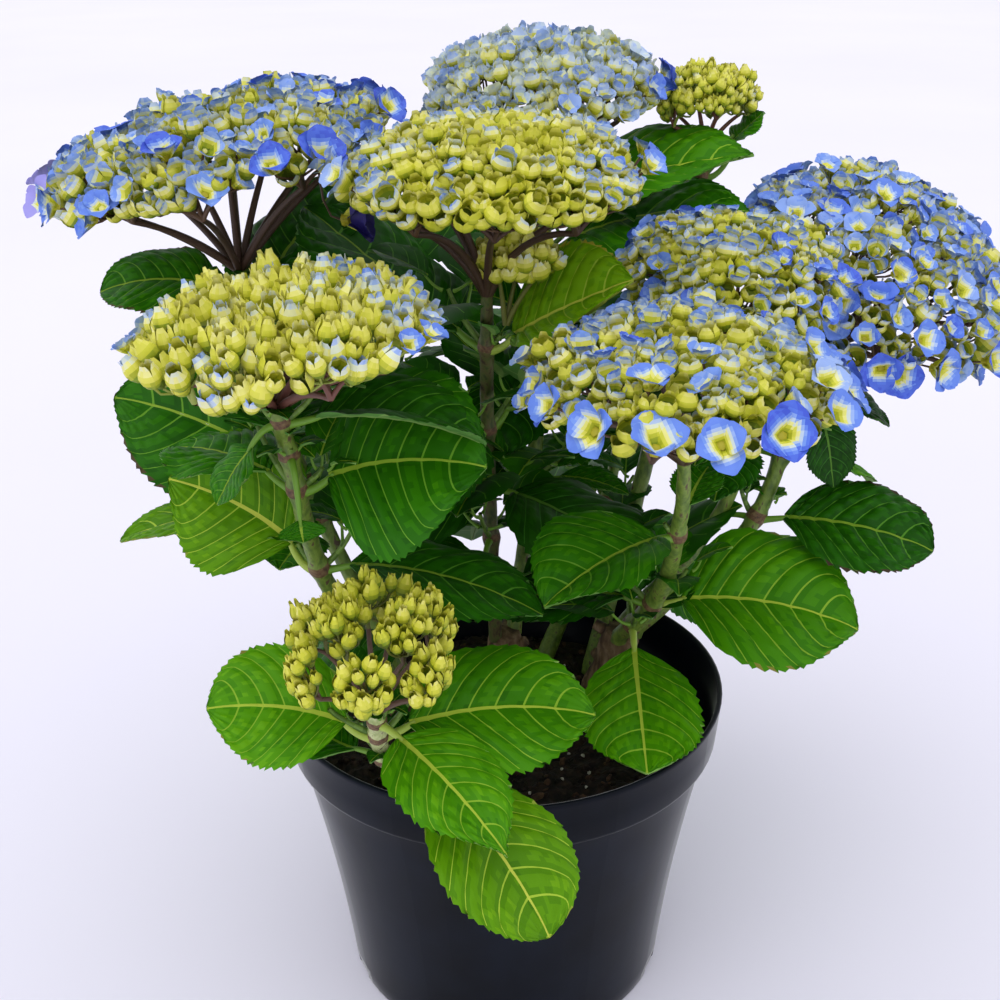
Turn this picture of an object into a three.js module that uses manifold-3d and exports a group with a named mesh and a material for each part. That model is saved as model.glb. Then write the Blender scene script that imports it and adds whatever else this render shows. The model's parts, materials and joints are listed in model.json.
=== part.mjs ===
// A potted hydrangea shrub: nursery pot, soil, old wood, flowering stems, leafy shoots, flower heads and
// masses of foliage. Millimetres, +Z up, front towards -Y, origin at the centre of the pot's flat underside.
import * as THREE from "three";
import { mergeVertices } from "three/addons/utils/BufferGeometryUtils.js";
import Module from "manifold-3d";

const wasm = await Module();
wasm.setup();

// ---- Driving dimensions ----
const CLEAR = 0.3; // gap left wherever two pieces meet

const POT_HEIGHT = 146;
const RIM_RADIUS = 100; // outside of the rim
const BASE_RADIUS = 74; // outside of the foot
const SHOULDER_RADIUS = 94.5; // body just under the lip
const LIP_DEPTH = 23;
const WALL = 1.8;
const FLOOR = 3;
const POT_SIDES = 32;
const DRAIN_SLOTS = 8;
const DRAIN_WIDTH = 13;
const DRAIN_HEIGHT = 5;
const DRAIN_DEPTH = 7;

const SOIL_TOP = 121;
const SOIL_FLAT = 74; // radius of the level middle of the soil
const SOIL_SAG = 4; // how far the soil drops at the wall

const LIMB_SIDES = 6;
const STEM_RADIUS = 3.7; // at the foot of a flowering stem
const STEM_TAPER = 0.78; // fork radius over foot radius
const NODE_SWELL = 1.22; // swelling where a leaf pair is borne
const ROOT_FLARE = 1.5; // widening where a limb leaves the soil

const LIMB_SHARES = [0.08, 0.3, 0.55, 0.8]; // sections of a limb between its ends, besides its nodes
const SHARE_APART = 0.1; // none of them nearer a node than this
const LEVEL_FOOT = 0.1; // sections below this share lie level, above it they stand across the limb

const LEAF_THICKNESS = 2.4; // a leaf's pad at its midrib
const LEAF_BREADTH = 0.66; // blade width over whole length
const PETIOLE_LENGTH = 13; // from the stem's axis to the blade
const PETIOLE_HALF = 1.6;
const LEAF_FALL = 40; // degrees a leaf bends down from stem to tip
const LEAF_FOLD = 12; // degrees each half of the blade rises from the midrib
const COLLAR_HALF = 2.6; // half height of the ring that joins a leaf pair
const COLLAR_WALL = 1.4;
const COLLAR_SIDES = 6;
const COLLAR_GAP = 1.4 * CLEAR; // between the stem and the flats of the ring

const RAY_RADIUS = 1.25; // branches under a flower head
const RAY_FOOT = 2; // how far from the fork's middle each one starts
const RAY_SPREAD = 0.62; // where they meet the head, as a share of its radius

const COLOURS = {
  pot: 0x262c3a,
  soil: 0x2a1f18,
  wood: 0x6b5640,
  stem: 0x6f8a3c,
  leaf: 0x2f7d1e,
  blossom: 0xa9b9dd,
  buds: 0xc9c95a,
};

// ---- Small helpers ----
const UP = new THREE.Vector3(0, 0, 1);
const radians = (degrees) => (degrees * Math.PI) / 180;

// A seeded generator, so that the plant grows the same way each time.
function seeded(seed) {
  let state = seed >>> 0;
  return () => {
    state = (state + 0x6d2b79f5) >>> 0;
    let t = Math.imul(state ^ (state >>> 15), 1 | state);
    t = (t + Math.imul(t ^ (t >>> 7), 61 | t)) ^ t;
    return ((t ^ (t >>> 14)) >>> 0) / 4294967296;
  };
}

function toSolid(geometry) {
  const bare = new THREE.BufferGeometry().setAttribute("position", geometry.getAttribute("position"));
  if (geometry.index) bare.setIndex(geometry.index);
  const merged = mergeVertices(bare, 1e-4);
  return new wasm.Manifold(
    new wasm.Mesh({
      numProp: 3,
      vertProperties: new Float32Array(merged.attributes.position.array),
      triVerts: new Uint32Array(merged.index.array),
    }),
  );
}

function toGeometry(solid) {
  const mesh = solid.getMesh();
  const geometry = new THREE.BufferGeometry();
  geometry.setAttribute("position", new THREE.BufferAttribute(new Float32Array(mesh.vertProperties), 3));
  geometry.setIndex(new THREE.BufferAttribute(new Uint32Array(mesh.triVerts), 1));
  geometry.computeVertexNormals();
  return geometry;
}

function asGeometry(points, faces) {
  const numbers = points.flatMap((p) => [p.x, p.y, p.z]);
  const geometry = new THREE.BufferGeometry();
  geometry.setAttribute("position", new THREE.Float32BufferAttribute(numbers, 3));
  return geometry.setIndex(faces);
}

// The faces between two loops of points that lie at these places in a list.
function band(first, second, sides) {
  return Array.from({ length: sides }, (_, i) => {
    const next = (i + 1) % sides;
    return [first + i, first + next, second + next, first + i, second + next, second + i];
  }).flat();
}

// The faces that close a loop round a hub point.
function fan(hub, start, sides, outward) {
  return Array.from({ length: sides }, (_, i) => {
    const [a, b] = [start + i, start + ((i + 1) % sides)];
    return outward ? [hub, a, b] : [hub, b, a];
  }).flat();
}

// Closes a stack of rings, each a loop of the same number of points, into a solid. Each end closes
// round its middle, and a last ring of one point makes a pointed end.
function skin(rings) {
  const sides = rings[0].length;
  const last = rings[rings.length - 1];
  const loops = last.length === 1 ? rings.slice(0, -1) : rings;
  const points = [...loops.flat(), centreOf(rings[0]), centreOf(last)];
  const count = loops.length * sides;
  const faces = loops.slice(1).flatMap((_, r) => band(r * sides, (r + 1) * sides, sides));
  faces.push(...fan(count, 0, sides, false), ...fan(count + 1, count - sides, sides, true));
  return toSolid(asGeometry(points, faces));
}

const centreOf = (ring) => ring.reduce((sum, p) => sum.add(p), new THREE.Vector3()).divideScalar(ring.length);

// A level ring of points about the origin, turned to stand across a direction and moved to its place.
function ringAcross(middle, along, radius, sides, start = 0) {
  const turn = new THREE.Quaternion().setFromUnitVectors(UP, along);
  return Array.from({ length: sides }, (_, i) => {
    const point = onCircle(radius, start + (i / sides) * 2 * Math.PI);
    return point.applyQuaternion(turn).add(middle);
  });
}

const onCircle = (radius, angle, z = 0) =>
  new THREE.Vector3(radius * Math.cos(angle), radius * Math.sin(angle), z);

const overlapVolume = (a, b) => (boxesMeet(a, b) ? a.intersect(b).volume() : 0);

function boxesMeet(a, b) {
  const p = a.boundingBox();
  const q = b.boundingBox();
  return [0, 1, 2].every((k) => p.min[k] < q.max[k] && q.min[k] < p.max[k]);
}

const largest = (solid) => solid.decompose().reduce((a, b) => (b.volume() > a.volume() ? b : a));

// ---- Pot and soil ----
const innerRadius = (z) => {
  const share = Math.max(0, (z - FLOOR) / (POT_HEIGHT - LIP_DEPTH - FLOOR));
  return BASE_RADIUS - WALL + Math.min(1, share) * (SHOULDER_RADIUS - BASE_RADIUS);
};

function potSolid(grow = 0) {
  const lipFoot = POT_HEIGHT - LIP_DEPTH;
  const profile = [
    [0, -grow],
    [BASE_RADIUS + grow, -grow],
    [SHOULDER_RADIUS + grow, lipFoot - grow],
    [RIM_RADIUS - 1 + grow, lipFoot + 1 - grow],
    [RIM_RADIUS + grow, POT_HEIGHT + grow],
    [RIM_RADIUS - 2.6 - grow, POT_HEIGHT + grow],
    [SHOULDER_RADIUS - WALL - grow, lipFoot],
    [BASE_RADIUS - WALL - grow, FLOOR + grow],
    [0, FLOOR + grow],
  ].map(([r, z]) => new THREE.Vector2(r, z));
  const body = toSolid(new THREE.LatheGeometry(profile, POT_SIDES).rotateX(Math.PI / 2));
  if (grow) return body;
  return drainSlots().reduce((pot, slot) => pot.subtract(slot), body);
}

function drainSlots() {
  return Array.from({ length: DRAIN_SLOTS }, (_, i) => {
    const box = new THREE.BoxGeometry(2 * DRAIN_DEPTH, DRAIN_WIDTH, 2 * DRAIN_HEIGHT);
    box.translate(BASE_RADIUS + CLEAR, 0, 0).rotateZ(((i + 0.5) / DRAIN_SLOTS) * 2 * Math.PI);
    return toSolid(box.toNonIndexed());
  });
}

function soilSolid() {
  const random = seeded(5);
  const edgeTop = SOIL_TOP - SOIL_SAG;
  const rings = [
    [innerRadius(FLOOR) - 2 * CLEAR, () => FLOOR + CLEAR],
    [innerRadius(edgeTop) - 2 * CLEAR, () => edgeTop + 2 * random() - 2],
    [SOIL_FLAT, () => SOIL_TOP],
  ].map(([radius, height]) =>
    Array.from({ length: POT_SIDES }, (_, i) => {
      const turn = (i / POT_SIDES) * 2 * Math.PI + Math.PI / 2;
      return onCircle(radius, turn, height());
    }),
  );
  return skin(rings);
}

// ---- Limbs ----
// A limb follows a smooth curve through its points. Both ends are level cuts, so that it stands on what
// carries it and its own flower head stands on it.
class Limb {
  constructor(points, radius, { flare = 1, taper = STEM_TAPER, swellings = [] } = {}) {
    this.curve = new THREE.CatmullRomCurve3(points.map((p) => new THREE.Vector3(...p)), false, "centripetal");
    this.radius = radius;
    this.flare = flare;
    this.taper = taper;
    this.swellings = swellings;
  }

  // The share of the curve at which the limb reaches a height.
  shareAt(z) {
    let low = 0;
    let high = 1;
    for (let i = 0; i < 24; i++) {
      const middle = (low + high) / 2;
      if (this.curve.getPoint(middle).z < z) low = middle;
      else high = middle;
    }
    return low;
  }

  pointAt(z) {
    return this.curve.getPoint(this.shareAt(z));
  }

  radiusAt(share) {
    const slim = this.radius * (1 - (1 - this.taper) * share);
    const footing = 1 + (this.flare - 1) * Math.exp(-share * 14);
    const swell = this.swellings.some((z) => Math.abs(this.shareAt(z) - share) < 1e-6) ? NODE_SWELL : 1;
    return slim * footing * swell;
  }

  solid(grow = 0) {
    const nodes = this.swellings.map((z) => this.shareAt(z));
    const apart = (s) => nodes.every((n) => Math.abs(n - s) > SHARE_APART);
    const between = LIMB_SHARES.filter(apart);
    const shares = [0, ...between, ...nodes, 1].sort((a, b) => a - b);
    return skin(shares.map((share) => this.ring(share, grow)));
  }

  ring(share, grow) {
    const level = share < LEVEL_FOOT || share === 1;
    const middle = this.curve.getPoint(share);
    if (share === 0) middle.z -= grow;
    if (share === 1) middle.z += grow;
    const along = level ? UP : this.curve.getTangent(share);
    return ringAcross(middle, along, this.radiusAt(share) + grow, LIMB_SIDES);
  }
}

// ---- Leaves ----
// azimuth: heading seen from above, 0 towards +X and -90 towards the front. rise: slope at the stem.
// bank: turn about the midrib, positive lifting the left half.
const leaf = (azimuth, length, rise = 15, more = {}) => ({
  azimuth,
  length,
  rise,
  fall: LEAF_FALL,
  bank: 0,
  fold: LEAF_FOLD,
  breadth: LEAF_BREADTH,
  stalk: PETIOLE_LENGTH,
  ...more,
});

const pair = (height, ...leaves) => ({ height, leaves });

// Stations along a blade: share of its length, and half width there as a share of the greatest.
const BLADE = [
  [0.06, 0.56],
  [0.32, 1],
  [0.64, 0.84],
  [0.87, 0.42],
];

const heading = (azimuth, slope) => onCircle(Math.cos(slope), azimuth, Math.sin(slope));

// The four-cornered rings of a leaf, from its root on the stem's axis to its tip, a ring of one point.
function leafRings(root, shape, seed, grow) {
  const random = seeded(seed);
  const stalk = shape.stalk / shape.length;
  const stations = [
    [0, PETIOLE_HALF],
    [stalk, PETIOLE_HALF],
    ...BLADE.map(([u, w]) => [
      stalk + u * (1 - stalk),
      (w * shape.length * shape.breadth * (0.94 + 0.12 * random())) / 2,
    ]),
    [1 + grow / shape.length, 0],
  ];
  const slopeAt = (share) => radians(shape.rise - shape.fall * share);
  const azimuth = radians(shape.azimuth);
  const point = root.clone();
  return stations.map(([share, half], i) => {
    const before = i ? stations[i - 1][0] : 0;
    const way = heading(azimuth, slopeAt((before + share) / 2));
    point.addScaledVector(way, (share - before) * shape.length);
    if (!half) return [point.clone()];
    const onStalk = i < 2;
    const thick = (onStalk ? PETIOLE_HALF : (LEAF_THICKNESS / 2) * (1 - 0.5 * share)) + grow;
    const fold = onStalk ? 0 : radians(shape.fold);
    const ahead = heading(azimuth, slopeAt(share));
    return leafRing(point, ahead, azimuth, radians(shape.bank), half + grow, fold, thick);
  });
}

function leafRing(point, ahead, azimuth, bank, half, fold, thick) {
  const left = new THREE.Vector3(-Math.sin(azimuth), Math.cos(azimuth), 0).applyAxisAngle(ahead, bank);
  const up = ahead.clone().cross(left);
  const at = (side, lift) => point.clone().addScaledVector(left, side).addScaledVector(up, lift);
  const edge = half * Math.cos(fold);
  const raised = half * Math.sin(fold);
  return [at(edge, raised), at(0, thick), at(-edge, raised), at(0, -thick)];
}

// A mass of foliage: two leaves on a ring round the stem. Each leaf's stalk grows out of the side of the
// ring that faces its way.
function pairSolid(limb, height, shapes, seeds, grow = 0) {
  const n = COLLAR_SIDES;
  const middle = limb.pointAt(height);
  const points = collarLoops(limb, height, radians(shapes[0].azimuth), grow).flat();
  const faces = [...band(3 * n, 0, n), ...band(0, n, n), ...band(2 * n, 3 * n, n)];
  const stalkSides = shapes.map((shape) => sideFacing(shape.azimuth - shapes[0].azimuth));
  for (let i = 0; i < n; i++) {
    const j = (i + 1) % n;
    if (!stalkSides.includes(i)) faces.push(n + i, n + j, 2 * n + j, n + i, 2 * n + j, 2 * n + i);
  }
  shapes.forEach((shape, k) => {
    const i = stalkSides[k];
    const j = (i + 1) % n;
    const mouth = [2 * n + j, 2 * n + i, n + i, n + j].map((at) => points[at].clone());
    const rings = [mouth, ...leafRings(middle, shape, seeds[k], grow).slice(1)];
    const first = points.length;
    const tip = first + 4 * (rings.length - 1);
    points.push(...rings.flat());
    for (let at = first; at < tip - 4; at += 4) faces.push(...band(at, at + 4, 4));
    faces.push(...fan(tip, tip - 4, 4, true));
  });
  return toSolid(asGeometry(points, faces));
}

// The inner foot, outer foot, outer top and inner top loops of the ring that joins a pair of leaves.
function collarLoops(limb, height, azimuth, grow) {
  const share = limb.shareAt(height);
  const along = limb.curve.getTangent(share);
  const flats = Math.cos(Math.PI / COLLAR_SIDES);
  const bore = (limb.radiusAt(share) + COLLAR_GAP) / flats - grow;
  const outer = bore + COLLAR_WALL + 2 * grow;
  const loop = (radius, side) => {
    const centre = limb.pointAt(height).addScaledVector(along, side * (COLLAR_HALF + grow));
    return ringAcross(centre, along, radius, COLLAR_SIDES, azimuth - Math.PI / COLLAR_SIDES);
  };
  return [loop(bore, -1), loop(outer, -1), loop(outer, 1), loop(bore, 1)];
}

// The side of that ring that faces a heading, in degrees from its first side.
function sideFacing(degrees) {
  const side = Math.round((degrees / 360) * COLLAR_SIDES) % COLLAR_SIDES;
  return (side + COLLAR_SIDES) % COLLAR_SIDES;
}

// ---- Flower heads ----
// Height over radius, and thickness, of a head from its top to the middle of its underside.
const DOME = [
  [0.45, 0.93],
  [0.8, 0.66],
  [1, 0.22],
  [0.95, -0.12],
  [0.55, -0.02],
];
const DOME_SIDES = 10;

// centre: middle of the head's underside. lean: degrees it tips towards leanTo. squash: depth over width.
function headSolid(head, fork, grow = 0) {
  const random = seeded(head.seed);
  const lumps = DOME.map(() => Array.from({ length: DOME_SIDES }, () => 0.93 + 0.14 * random()));
  const rings = DOME.map(([r, h], k) =>
    Array.from({ length: DOME_SIDES }, (_, i) => {
      const angle = (-i / DOME_SIDES) * 2 * Math.PI;
      const reach = (head.radius * r + grow) * lumps[k][i];
      const lift = h * head.depth * lumps[k][(i + 3) % DOME_SIDES] + (h > 0.1 ? grow : -grow);
      return onCircle(reach, angle, lift);
    }),
  );
  const axis = UP.clone().cross(onCircle(1, radians(head.leanTo)));
  const turn = new THREE.Quaternion().setFromAxisAngle(axis, radians(head.lean));
  const centre = new THREE.Vector3(...head.centre);
  for (const ring of rings) for (const p of ring) p.applyQuaternion(turn).add(centre);
  let solid = skin(rings);
  for (let i = 0; i < head.rays; i++) {
    const angle = ((i + 0.5) / head.rays) * 2 * Math.PI;
    const end = onCircle(head.radius * RAY_SPREAD, angle, head.depth * 0.2);
    end.applyQuaternion(turn).add(centre);
    const start = onCircle(RAY_FOOT, angle, CLEAR).add(fork);
    solid = solid.add(raySolid(start, end, grow));
  }
  return largest(solid);
}

function raySolid(start, end, grow) {
  const along = end.clone().sub(start).normalize();
  const foot = start.clone().setZ(start.z - grow);
  const radius = RAY_RADIUS + grow;
  return skin([ringAcross(foot, UP, radius, 4), ringAcross(end, along, radius, 4)]);
}

// ---- The plant ----
// Old wood: short thick trunks that carry the boughs on their level tops.
const OLD_WOOD = {
  old_wood_left: { foot: [-41, 3], top: [-46, -2, 147], radius: 9 },
  old_wood_middle: { foot: [2, 36], top: [1, 31, 152], radius: 9 },
  old_wood_right: { foot: [50, 30], top: [56, 20, 158], radius: 9.5 },
};

// Each stem runs from its wood or the soil through the points given to its fork, and bears leaf pairs
// from the highest down. Stems at the front come first, because later leaves turn aside for earlier ones.
const STEMS = [
  {
    name: "stem_low_front",
    from: [-36, -42],
    through: [[-48, -80, 158]],
    fork: [-48, -104, 196],
    pairs: [
      pair(187, leaf(-46, 76, -4, { fall: 30 }), leaf(120, 82, 32, { bank: -10 })),
      pair(177, leaf(8, 88, 20, { bank: 22 }), leaf(-172, 72, 22, { bank: -34, breadth: 0.76 })),
      pair(159, leaf(-47, 100, 14, { fall: 66, stalk: 34, breadth: 0.6 }), leaf(150, 50, -12)),
    ],
    head: { centre: [-46, -112, 222], radius: 33, depth: 26, lean: 12, leanTo: -100, rays: 4, seed: 11 },
  },
  {
    name: "stem_right_front",
    wood: "old_wood_right",
    from: [54, 15],
    through: [
      [66, -2, 182],
      [72, -45, 245],
    ],
    fork: [70, -62, 279],
    pairs: [
      pair(236, leaf(-148, 68, 8, { fold: 24, breadth: 0.84, stalk: 10 }), leaf(62, 56, 44)),
      pair(186, leaf(-10, 94, 16, { bank: 24, breadth: 0.76 }), leaf(166, 74, 12)),
      pair(168, leaf(-91, 80, -14, { breadth: 0.7 }), leaf(75, 60, 20)),
    ],
    head: { centre: [64, -83, 314], radius: 59, depth: 24, lean: 3, leanTo: -90, rays: 4, seed: 12 },
  },
  {
    name: "stem_left_front",
    wood: "old_wood_left",
    from: [-48, -7],
    through: [
      [-72, -50, 226],
      [-77, -77, 288],
    ],
    fork: [-79, -85, 311],
    pairs: [
      pair(303, leaf(2, 76, 12, { fold: 30 }), leaf(-152, 38, -25)),
      pair(288, leaf(-72, 44, -45), leaf(110, 60, 30)),
      pair(272, leaf(-30, 76, 10, { bank: 38, breadth: 0.92 }), leaf(150, 60, 25)),
      pair(230, leaf(170, 72, 50, { bank: -60, breadth: 0.8 }), leaf(-8, 80, 10)),
    ],
    head: { centre: [-72, -92, 336], radius: 56, depth: 20, lean: 4, leanTo: 200, rays: 5, seed: 13 },
  },
  {
    name: "stem_centre",
    wood: "old_wood_middle",
    from: [-3, 28],
    through: [
      [-5, 16, 258],
    ],
    fork: [-4, -18, 333],
    pairs: [
      pair(304, leaf(-32, 76, 42, { fold: 44, fall: 10 }), leaf(148, 84, 30)),
      pair(262, leaf(58, 84, 15), leaf(-125, 72, 5)),
      pair(232, leaf(-35, 78, 5), leaf(145, 84, 15)),
      pair(206, leaf(-105, 62, -20), leaf(80, 78, 10)),
    ],
    head: { centre: [0, -25, 378], radius: 59, depth: 21, lean: 3, leanTo: -90, rays: 5, seed: 14 },
  },
  {
    name: "stem_far_right",
    wood: "old_wood_right",
    from: [62, 20],
    through: [
      [117, 32, 209],
      [133, 36, 258],
    ],
    fork: [146, 46, 288],
    pairs: [
      pair(272, leaf(-66, 52, -40), leaf(-12, 42, -6)),
      pair(240, leaf(24, 64, 4), leaf(138, 74, 20)),
      pair(210, leaf(-20, 84, 12, { bank: 32, breadth: 0.62 }), leaf(160, 72, 15)),
    ],
    head: { centre: [171, 63, 315], radius: 68, depth: 32, lean: 30, leanTo: -55, rays: 4, seed: 15 },
  },
  {
    name: "stem_left_tall",
    wood: "old_wood_left",
    from: [-46, 3],
    through: [[-86, 14, 240]],
    fork: [-108, 25, 333],
    pairs: [
      pair(318, leaf(178, 66, 31, { fall: 54, bank: -22 }), leaf(55, 66, 40)),
      pair(238, leaf(166, 96, 38, { fall: 34, bank: -46, breadth: 0.76 }), leaf(-8, 76, 10)),
      pair(222, leaf(182, 92, 14), leaf(-110, 54, 0)),
    ],
    head: { centre: [-112, 28, 375], radius: 75, depth: 27, lean: 12, leanTo: 190, rays: 6, seed: 16 },
  },
  {
    name: "stem_back",
    wood: "old_wood_middle",
    from: [6, 35],
    through: [[20, 72, 262]],
    fork: [23, 97, 350],
    pairs: [
      pair(344, leaf(-6, 96, 14, { fall: 25 }), leaf(190, 84, 14)),
      pair(322, leaf(-18, 98, 24, { fall: 34 }), leaf(110, 92, 15)),
      pair(272, leaf(80, 100, 15), leaf(-115, 66, 10)),
      pair(220, leaf(160, 104, 12), leaf(-15, 62, 14)),
    ],
    head: { centre: [23, 103, 391], radius: 57, depth: 26, lean: 6, leanTo: -90, rays: 4, seed: 17 },
  },
  {
    name: "stem_right",
    wood: "old_wood_right",
    from: [57, 26],
    through: [[104, 25, 225]],
    fork: [99, 16, 298],
    pairs: [
      pair(276, leaf(60, 78, 15), leaf(-120, 62, -5)),
      pair(254, leaf(100, 82, 15), leaf(-110, 60, 14)),
    ],
    head: { centre: [97, 14, 327], radius: 50, depth: 24, lean: 8, leanTo: -70, rays: 4, seed: 18 },
  },
  {
    name: "stem_back_right",
    from: [44, 48],
    through: [[82, 84, 270]],
    fork: [97, 104, 366],
    pairs: [
      pair(350, leaf(4, 46, 62), leaf(150, 62, 25)),
      pair(298, leaf(100, 98, 15), leaf(-70, 62, 10)),
      pair(236, leaf(20, 98, 12), leaf(190, 66, 10)),
    ],
    head: { centre: [98, 106, 387], radius: 25, depth: 16, lean: 0, leanTo: 0, rays: 5, seed: 19 },
  },
  {
    name: "shoot_back_left",
    from: [-28, 44],
    through: [[-50, 84, 200]],
    fork: [-58, 104, 262],
    pairs: [
      pair(256, leaf(120, 92, 30), leaf(-40, 62, 35)),
      pair(224, leaf(205, 96, 10), leaf(30, 76, 10)),
      pair(186, leaf(118, 104, 10), leaf(-70, 60, 10)),
    ],
  },
  {
    name: "shoot_back_right",
    from: [22, 62],
    through: [[52, 98, 180]],
    fork: [64, 118, 230],
    pairs: [
      pair(224, leaf(60, 96, 30), leaf(200, 70, 30)),
      pair(188, leaf(-30, 84, -8), leaf(130, 98, 8)),
    ],
  },
];

// A small cluster of buds on a stalk from the side of the centre stem.
const BUD_CLUSTER = {
  root: [4.2, -10, 318],
  head: { centre: [9, -16, 345], radius: 17, depth: 12, lean: 0, leanTo: 0, rays: 3, seed: 20 },
};

// How far a crowded leaf may turn aside, as steps of slope and heading.
const TURNS = [0, 7, -7, 14, -14, 21, -21];
const SWAYS = [0, 9, -9, 18, -18];

function buildWood() {
  return Object.entries(OLD_WOOD).map(([name, wood]) => {
    const foot = [...wood.foot, SOIL_TOP + CLEAR];
    const limb = new Limb([foot, wood.top], wood.radius, { flare: ROOT_FLARE, taper: 0.94 });
    return { name, limb, colour: COLOURS.wood };
  });
}

function buildStem(stem) {
  const footZ = stem.wood ? OLD_WOOD[stem.wood].top[2] : SOIL_TOP;
  const foot = [...stem.from, footZ + CLEAR];
  const swellings = stem.pairs.map((p) => p.height);
  const flare = stem.wood ? 1.05 : ROOT_FLARE;
  const limb = new Limb([foot, ...stem.through, stem.fork], STEM_RADIUS, { flare, swellings });
  return { name: stem.name, limb, colour: COLOURS.stem };
}

// Turns a leaf aside, by the first step that clears everything already in place, or else the best one.
function settle(root, shape, seed, obstacles) {
  let best = null;
  for (const sway of SWAYS) {
    for (const turn of TURNS) {
      const tried = { ...shape, rise: shape.rise + turn, azimuth: shape.azimuth + sway };
      const grown = skin(leafRings(root, tried, seed, CLEAR));
      const overlap = obstacles.reduce((sum, other) => sum + overlapVolume(grown, other), 0);
      const cost = overlap + 0.02 * (Math.abs(turn) + Math.abs(sway));
      if (!best || cost < best.cost) best = { cost, overlap, shape: tried };
    }
    if (best.overlap < 0.5) break;
  }
  return best.shape;
}

const group = new THREE.Group();
const placed = []; // every piece so far: its solid, and the same grown by the clearance

function place(name, colour, solid, grown, roughness = 0.6) {
  const material = new THREE.MeshStandardMaterial({ color: colour, roughness, metalness: 0 });
  const mesh = new THREE.Mesh(toGeometry(solid), material);
  mesh.name = name;
  group.add(mesh);
  placed.push({ name, solid, grown });
}

// Cuts a solid clear of every grown piece that it meets.
function cutClear(solid, pieces) {
  let cut = solid;
  for (const piece of pieces) if (boxesMeet(cut, piece.grown)) cut = cut.subtract(piece.grown);
  return largest(cut);
}

place("pot", COLOURS.pot, potSolid(), potSolid(CLEAR), 0.4);
const soil = soilSolid();
place("soil", COLOURS.soil, soil, soil, 0.95);

const limbs = [...buildWood(), ...STEMS.map(buildStem)];
for (const { name, limb, colour } of limbs) place(name, colour, limb.solid(), limb.solid(CLEAR), 0.7);

const heads = STEMS.filter((s) => s.head).map((s) => ({
  name: s.name.replace("stem", "flower_head"),
  head: s.head,
  fork: new THREE.Vector3(...s.fork),
}));
const budRoot = new THREE.Vector3(...BUD_CLUSTER.root);
heads.push({ name: "bud_cluster_centre", head: BUD_CLUSTER.head, fork: budRoot });
for (const { name, head, fork } of heads) {
  const solid = cutClear(headSolid(head, fork), placed.slice(2));
  const colour = head.radius < 35 ? COLOURS.buds : COLOURS.blossom;
  place(name, colour, solid, headSolid(head, fork, CLEAR), 0.7);
}

STEMS.forEach((stem, s) => {
  const { limb } = limbs[s + Object.keys(OLD_WOOD).length];
  stem.pairs.forEach((leafPair, p) => {
    const root = limb.pointAt(leafPair.height);
    const pieces = placed.filter((piece) => piece.name !== "soil");
    const obstacles = pieces.filter((piece) => piece.name !== stem.name).map((piece) => piece.solid);
    const seeds = leafPair.leaves.map((_, k) => 100 * s + 10 * p + k + 1);
    const shapes = leafPair.leaves.map((shape, k) => settle(root, shape, seeds[k], obstacles));
    const solid = cutClear(pairSolid(limb, leafPair.height, shapes, seeds), pieces);
    const grown = pairSolid(limb, leafPair.height, shapes, seeds, CLEAR);
    const name = stem.name.replace("stem", "leaves").replace("shoot", "shoot_leaves");
    place(`${name}_${p + 1}`, COLOURS.leaf, solid, grown, 0.55);
  });
});

export default group;
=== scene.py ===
"""Looks of the potted hydrangea shrub: pot, soil, woody and green stems, leaves and flower heads.

Work is in millimetres and the meshes are made in metres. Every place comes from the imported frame: limbs
from the rings of their solids, leaves and flower heads from the solids that stand for them.
"""

import json
import math
from dataclasses import dataclass

import bpy
import numpy as np
from mathutils import Matrix, Vector
from mathutils.bvhtree import BVHTree

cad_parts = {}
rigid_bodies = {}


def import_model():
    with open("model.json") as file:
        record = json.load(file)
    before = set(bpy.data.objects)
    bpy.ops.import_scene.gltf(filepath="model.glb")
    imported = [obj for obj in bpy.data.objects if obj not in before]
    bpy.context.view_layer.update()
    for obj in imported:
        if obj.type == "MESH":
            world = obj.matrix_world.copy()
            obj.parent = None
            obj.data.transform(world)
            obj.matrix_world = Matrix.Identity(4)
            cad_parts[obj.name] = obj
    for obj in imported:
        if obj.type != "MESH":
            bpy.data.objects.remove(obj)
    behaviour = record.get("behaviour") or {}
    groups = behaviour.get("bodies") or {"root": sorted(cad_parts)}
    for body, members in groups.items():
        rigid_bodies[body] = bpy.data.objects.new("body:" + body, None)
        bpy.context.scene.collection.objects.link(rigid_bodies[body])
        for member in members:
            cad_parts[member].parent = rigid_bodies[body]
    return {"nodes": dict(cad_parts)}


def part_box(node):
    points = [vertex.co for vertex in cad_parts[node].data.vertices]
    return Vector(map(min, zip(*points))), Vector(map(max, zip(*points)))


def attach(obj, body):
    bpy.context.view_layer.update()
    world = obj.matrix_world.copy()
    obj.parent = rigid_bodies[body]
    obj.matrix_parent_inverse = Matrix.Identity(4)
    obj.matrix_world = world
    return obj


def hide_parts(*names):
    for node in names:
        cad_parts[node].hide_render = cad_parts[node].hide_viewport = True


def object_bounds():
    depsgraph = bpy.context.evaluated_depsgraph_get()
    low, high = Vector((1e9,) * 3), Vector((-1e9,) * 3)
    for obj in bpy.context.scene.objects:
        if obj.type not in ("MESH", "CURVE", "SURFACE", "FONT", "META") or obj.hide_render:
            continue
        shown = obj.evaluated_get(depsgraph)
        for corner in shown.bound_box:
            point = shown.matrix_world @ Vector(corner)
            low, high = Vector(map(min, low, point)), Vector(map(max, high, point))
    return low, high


for thing in list(bpy.data.objects):
    bpy.data.objects.remove(thing)
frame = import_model()
CAD_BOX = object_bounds()
NODES = frame["nodes"]
MM = 0.001
UP = np.array([0.0, 0.0, 1.0])
SEED = 20


# ---- Numbers ----
def unit(v):
    v = np.asarray(v, float)
    return v / np.maximum(np.linalg.norm(v, axis=-1, keepdims=True), 1e-12)


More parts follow.
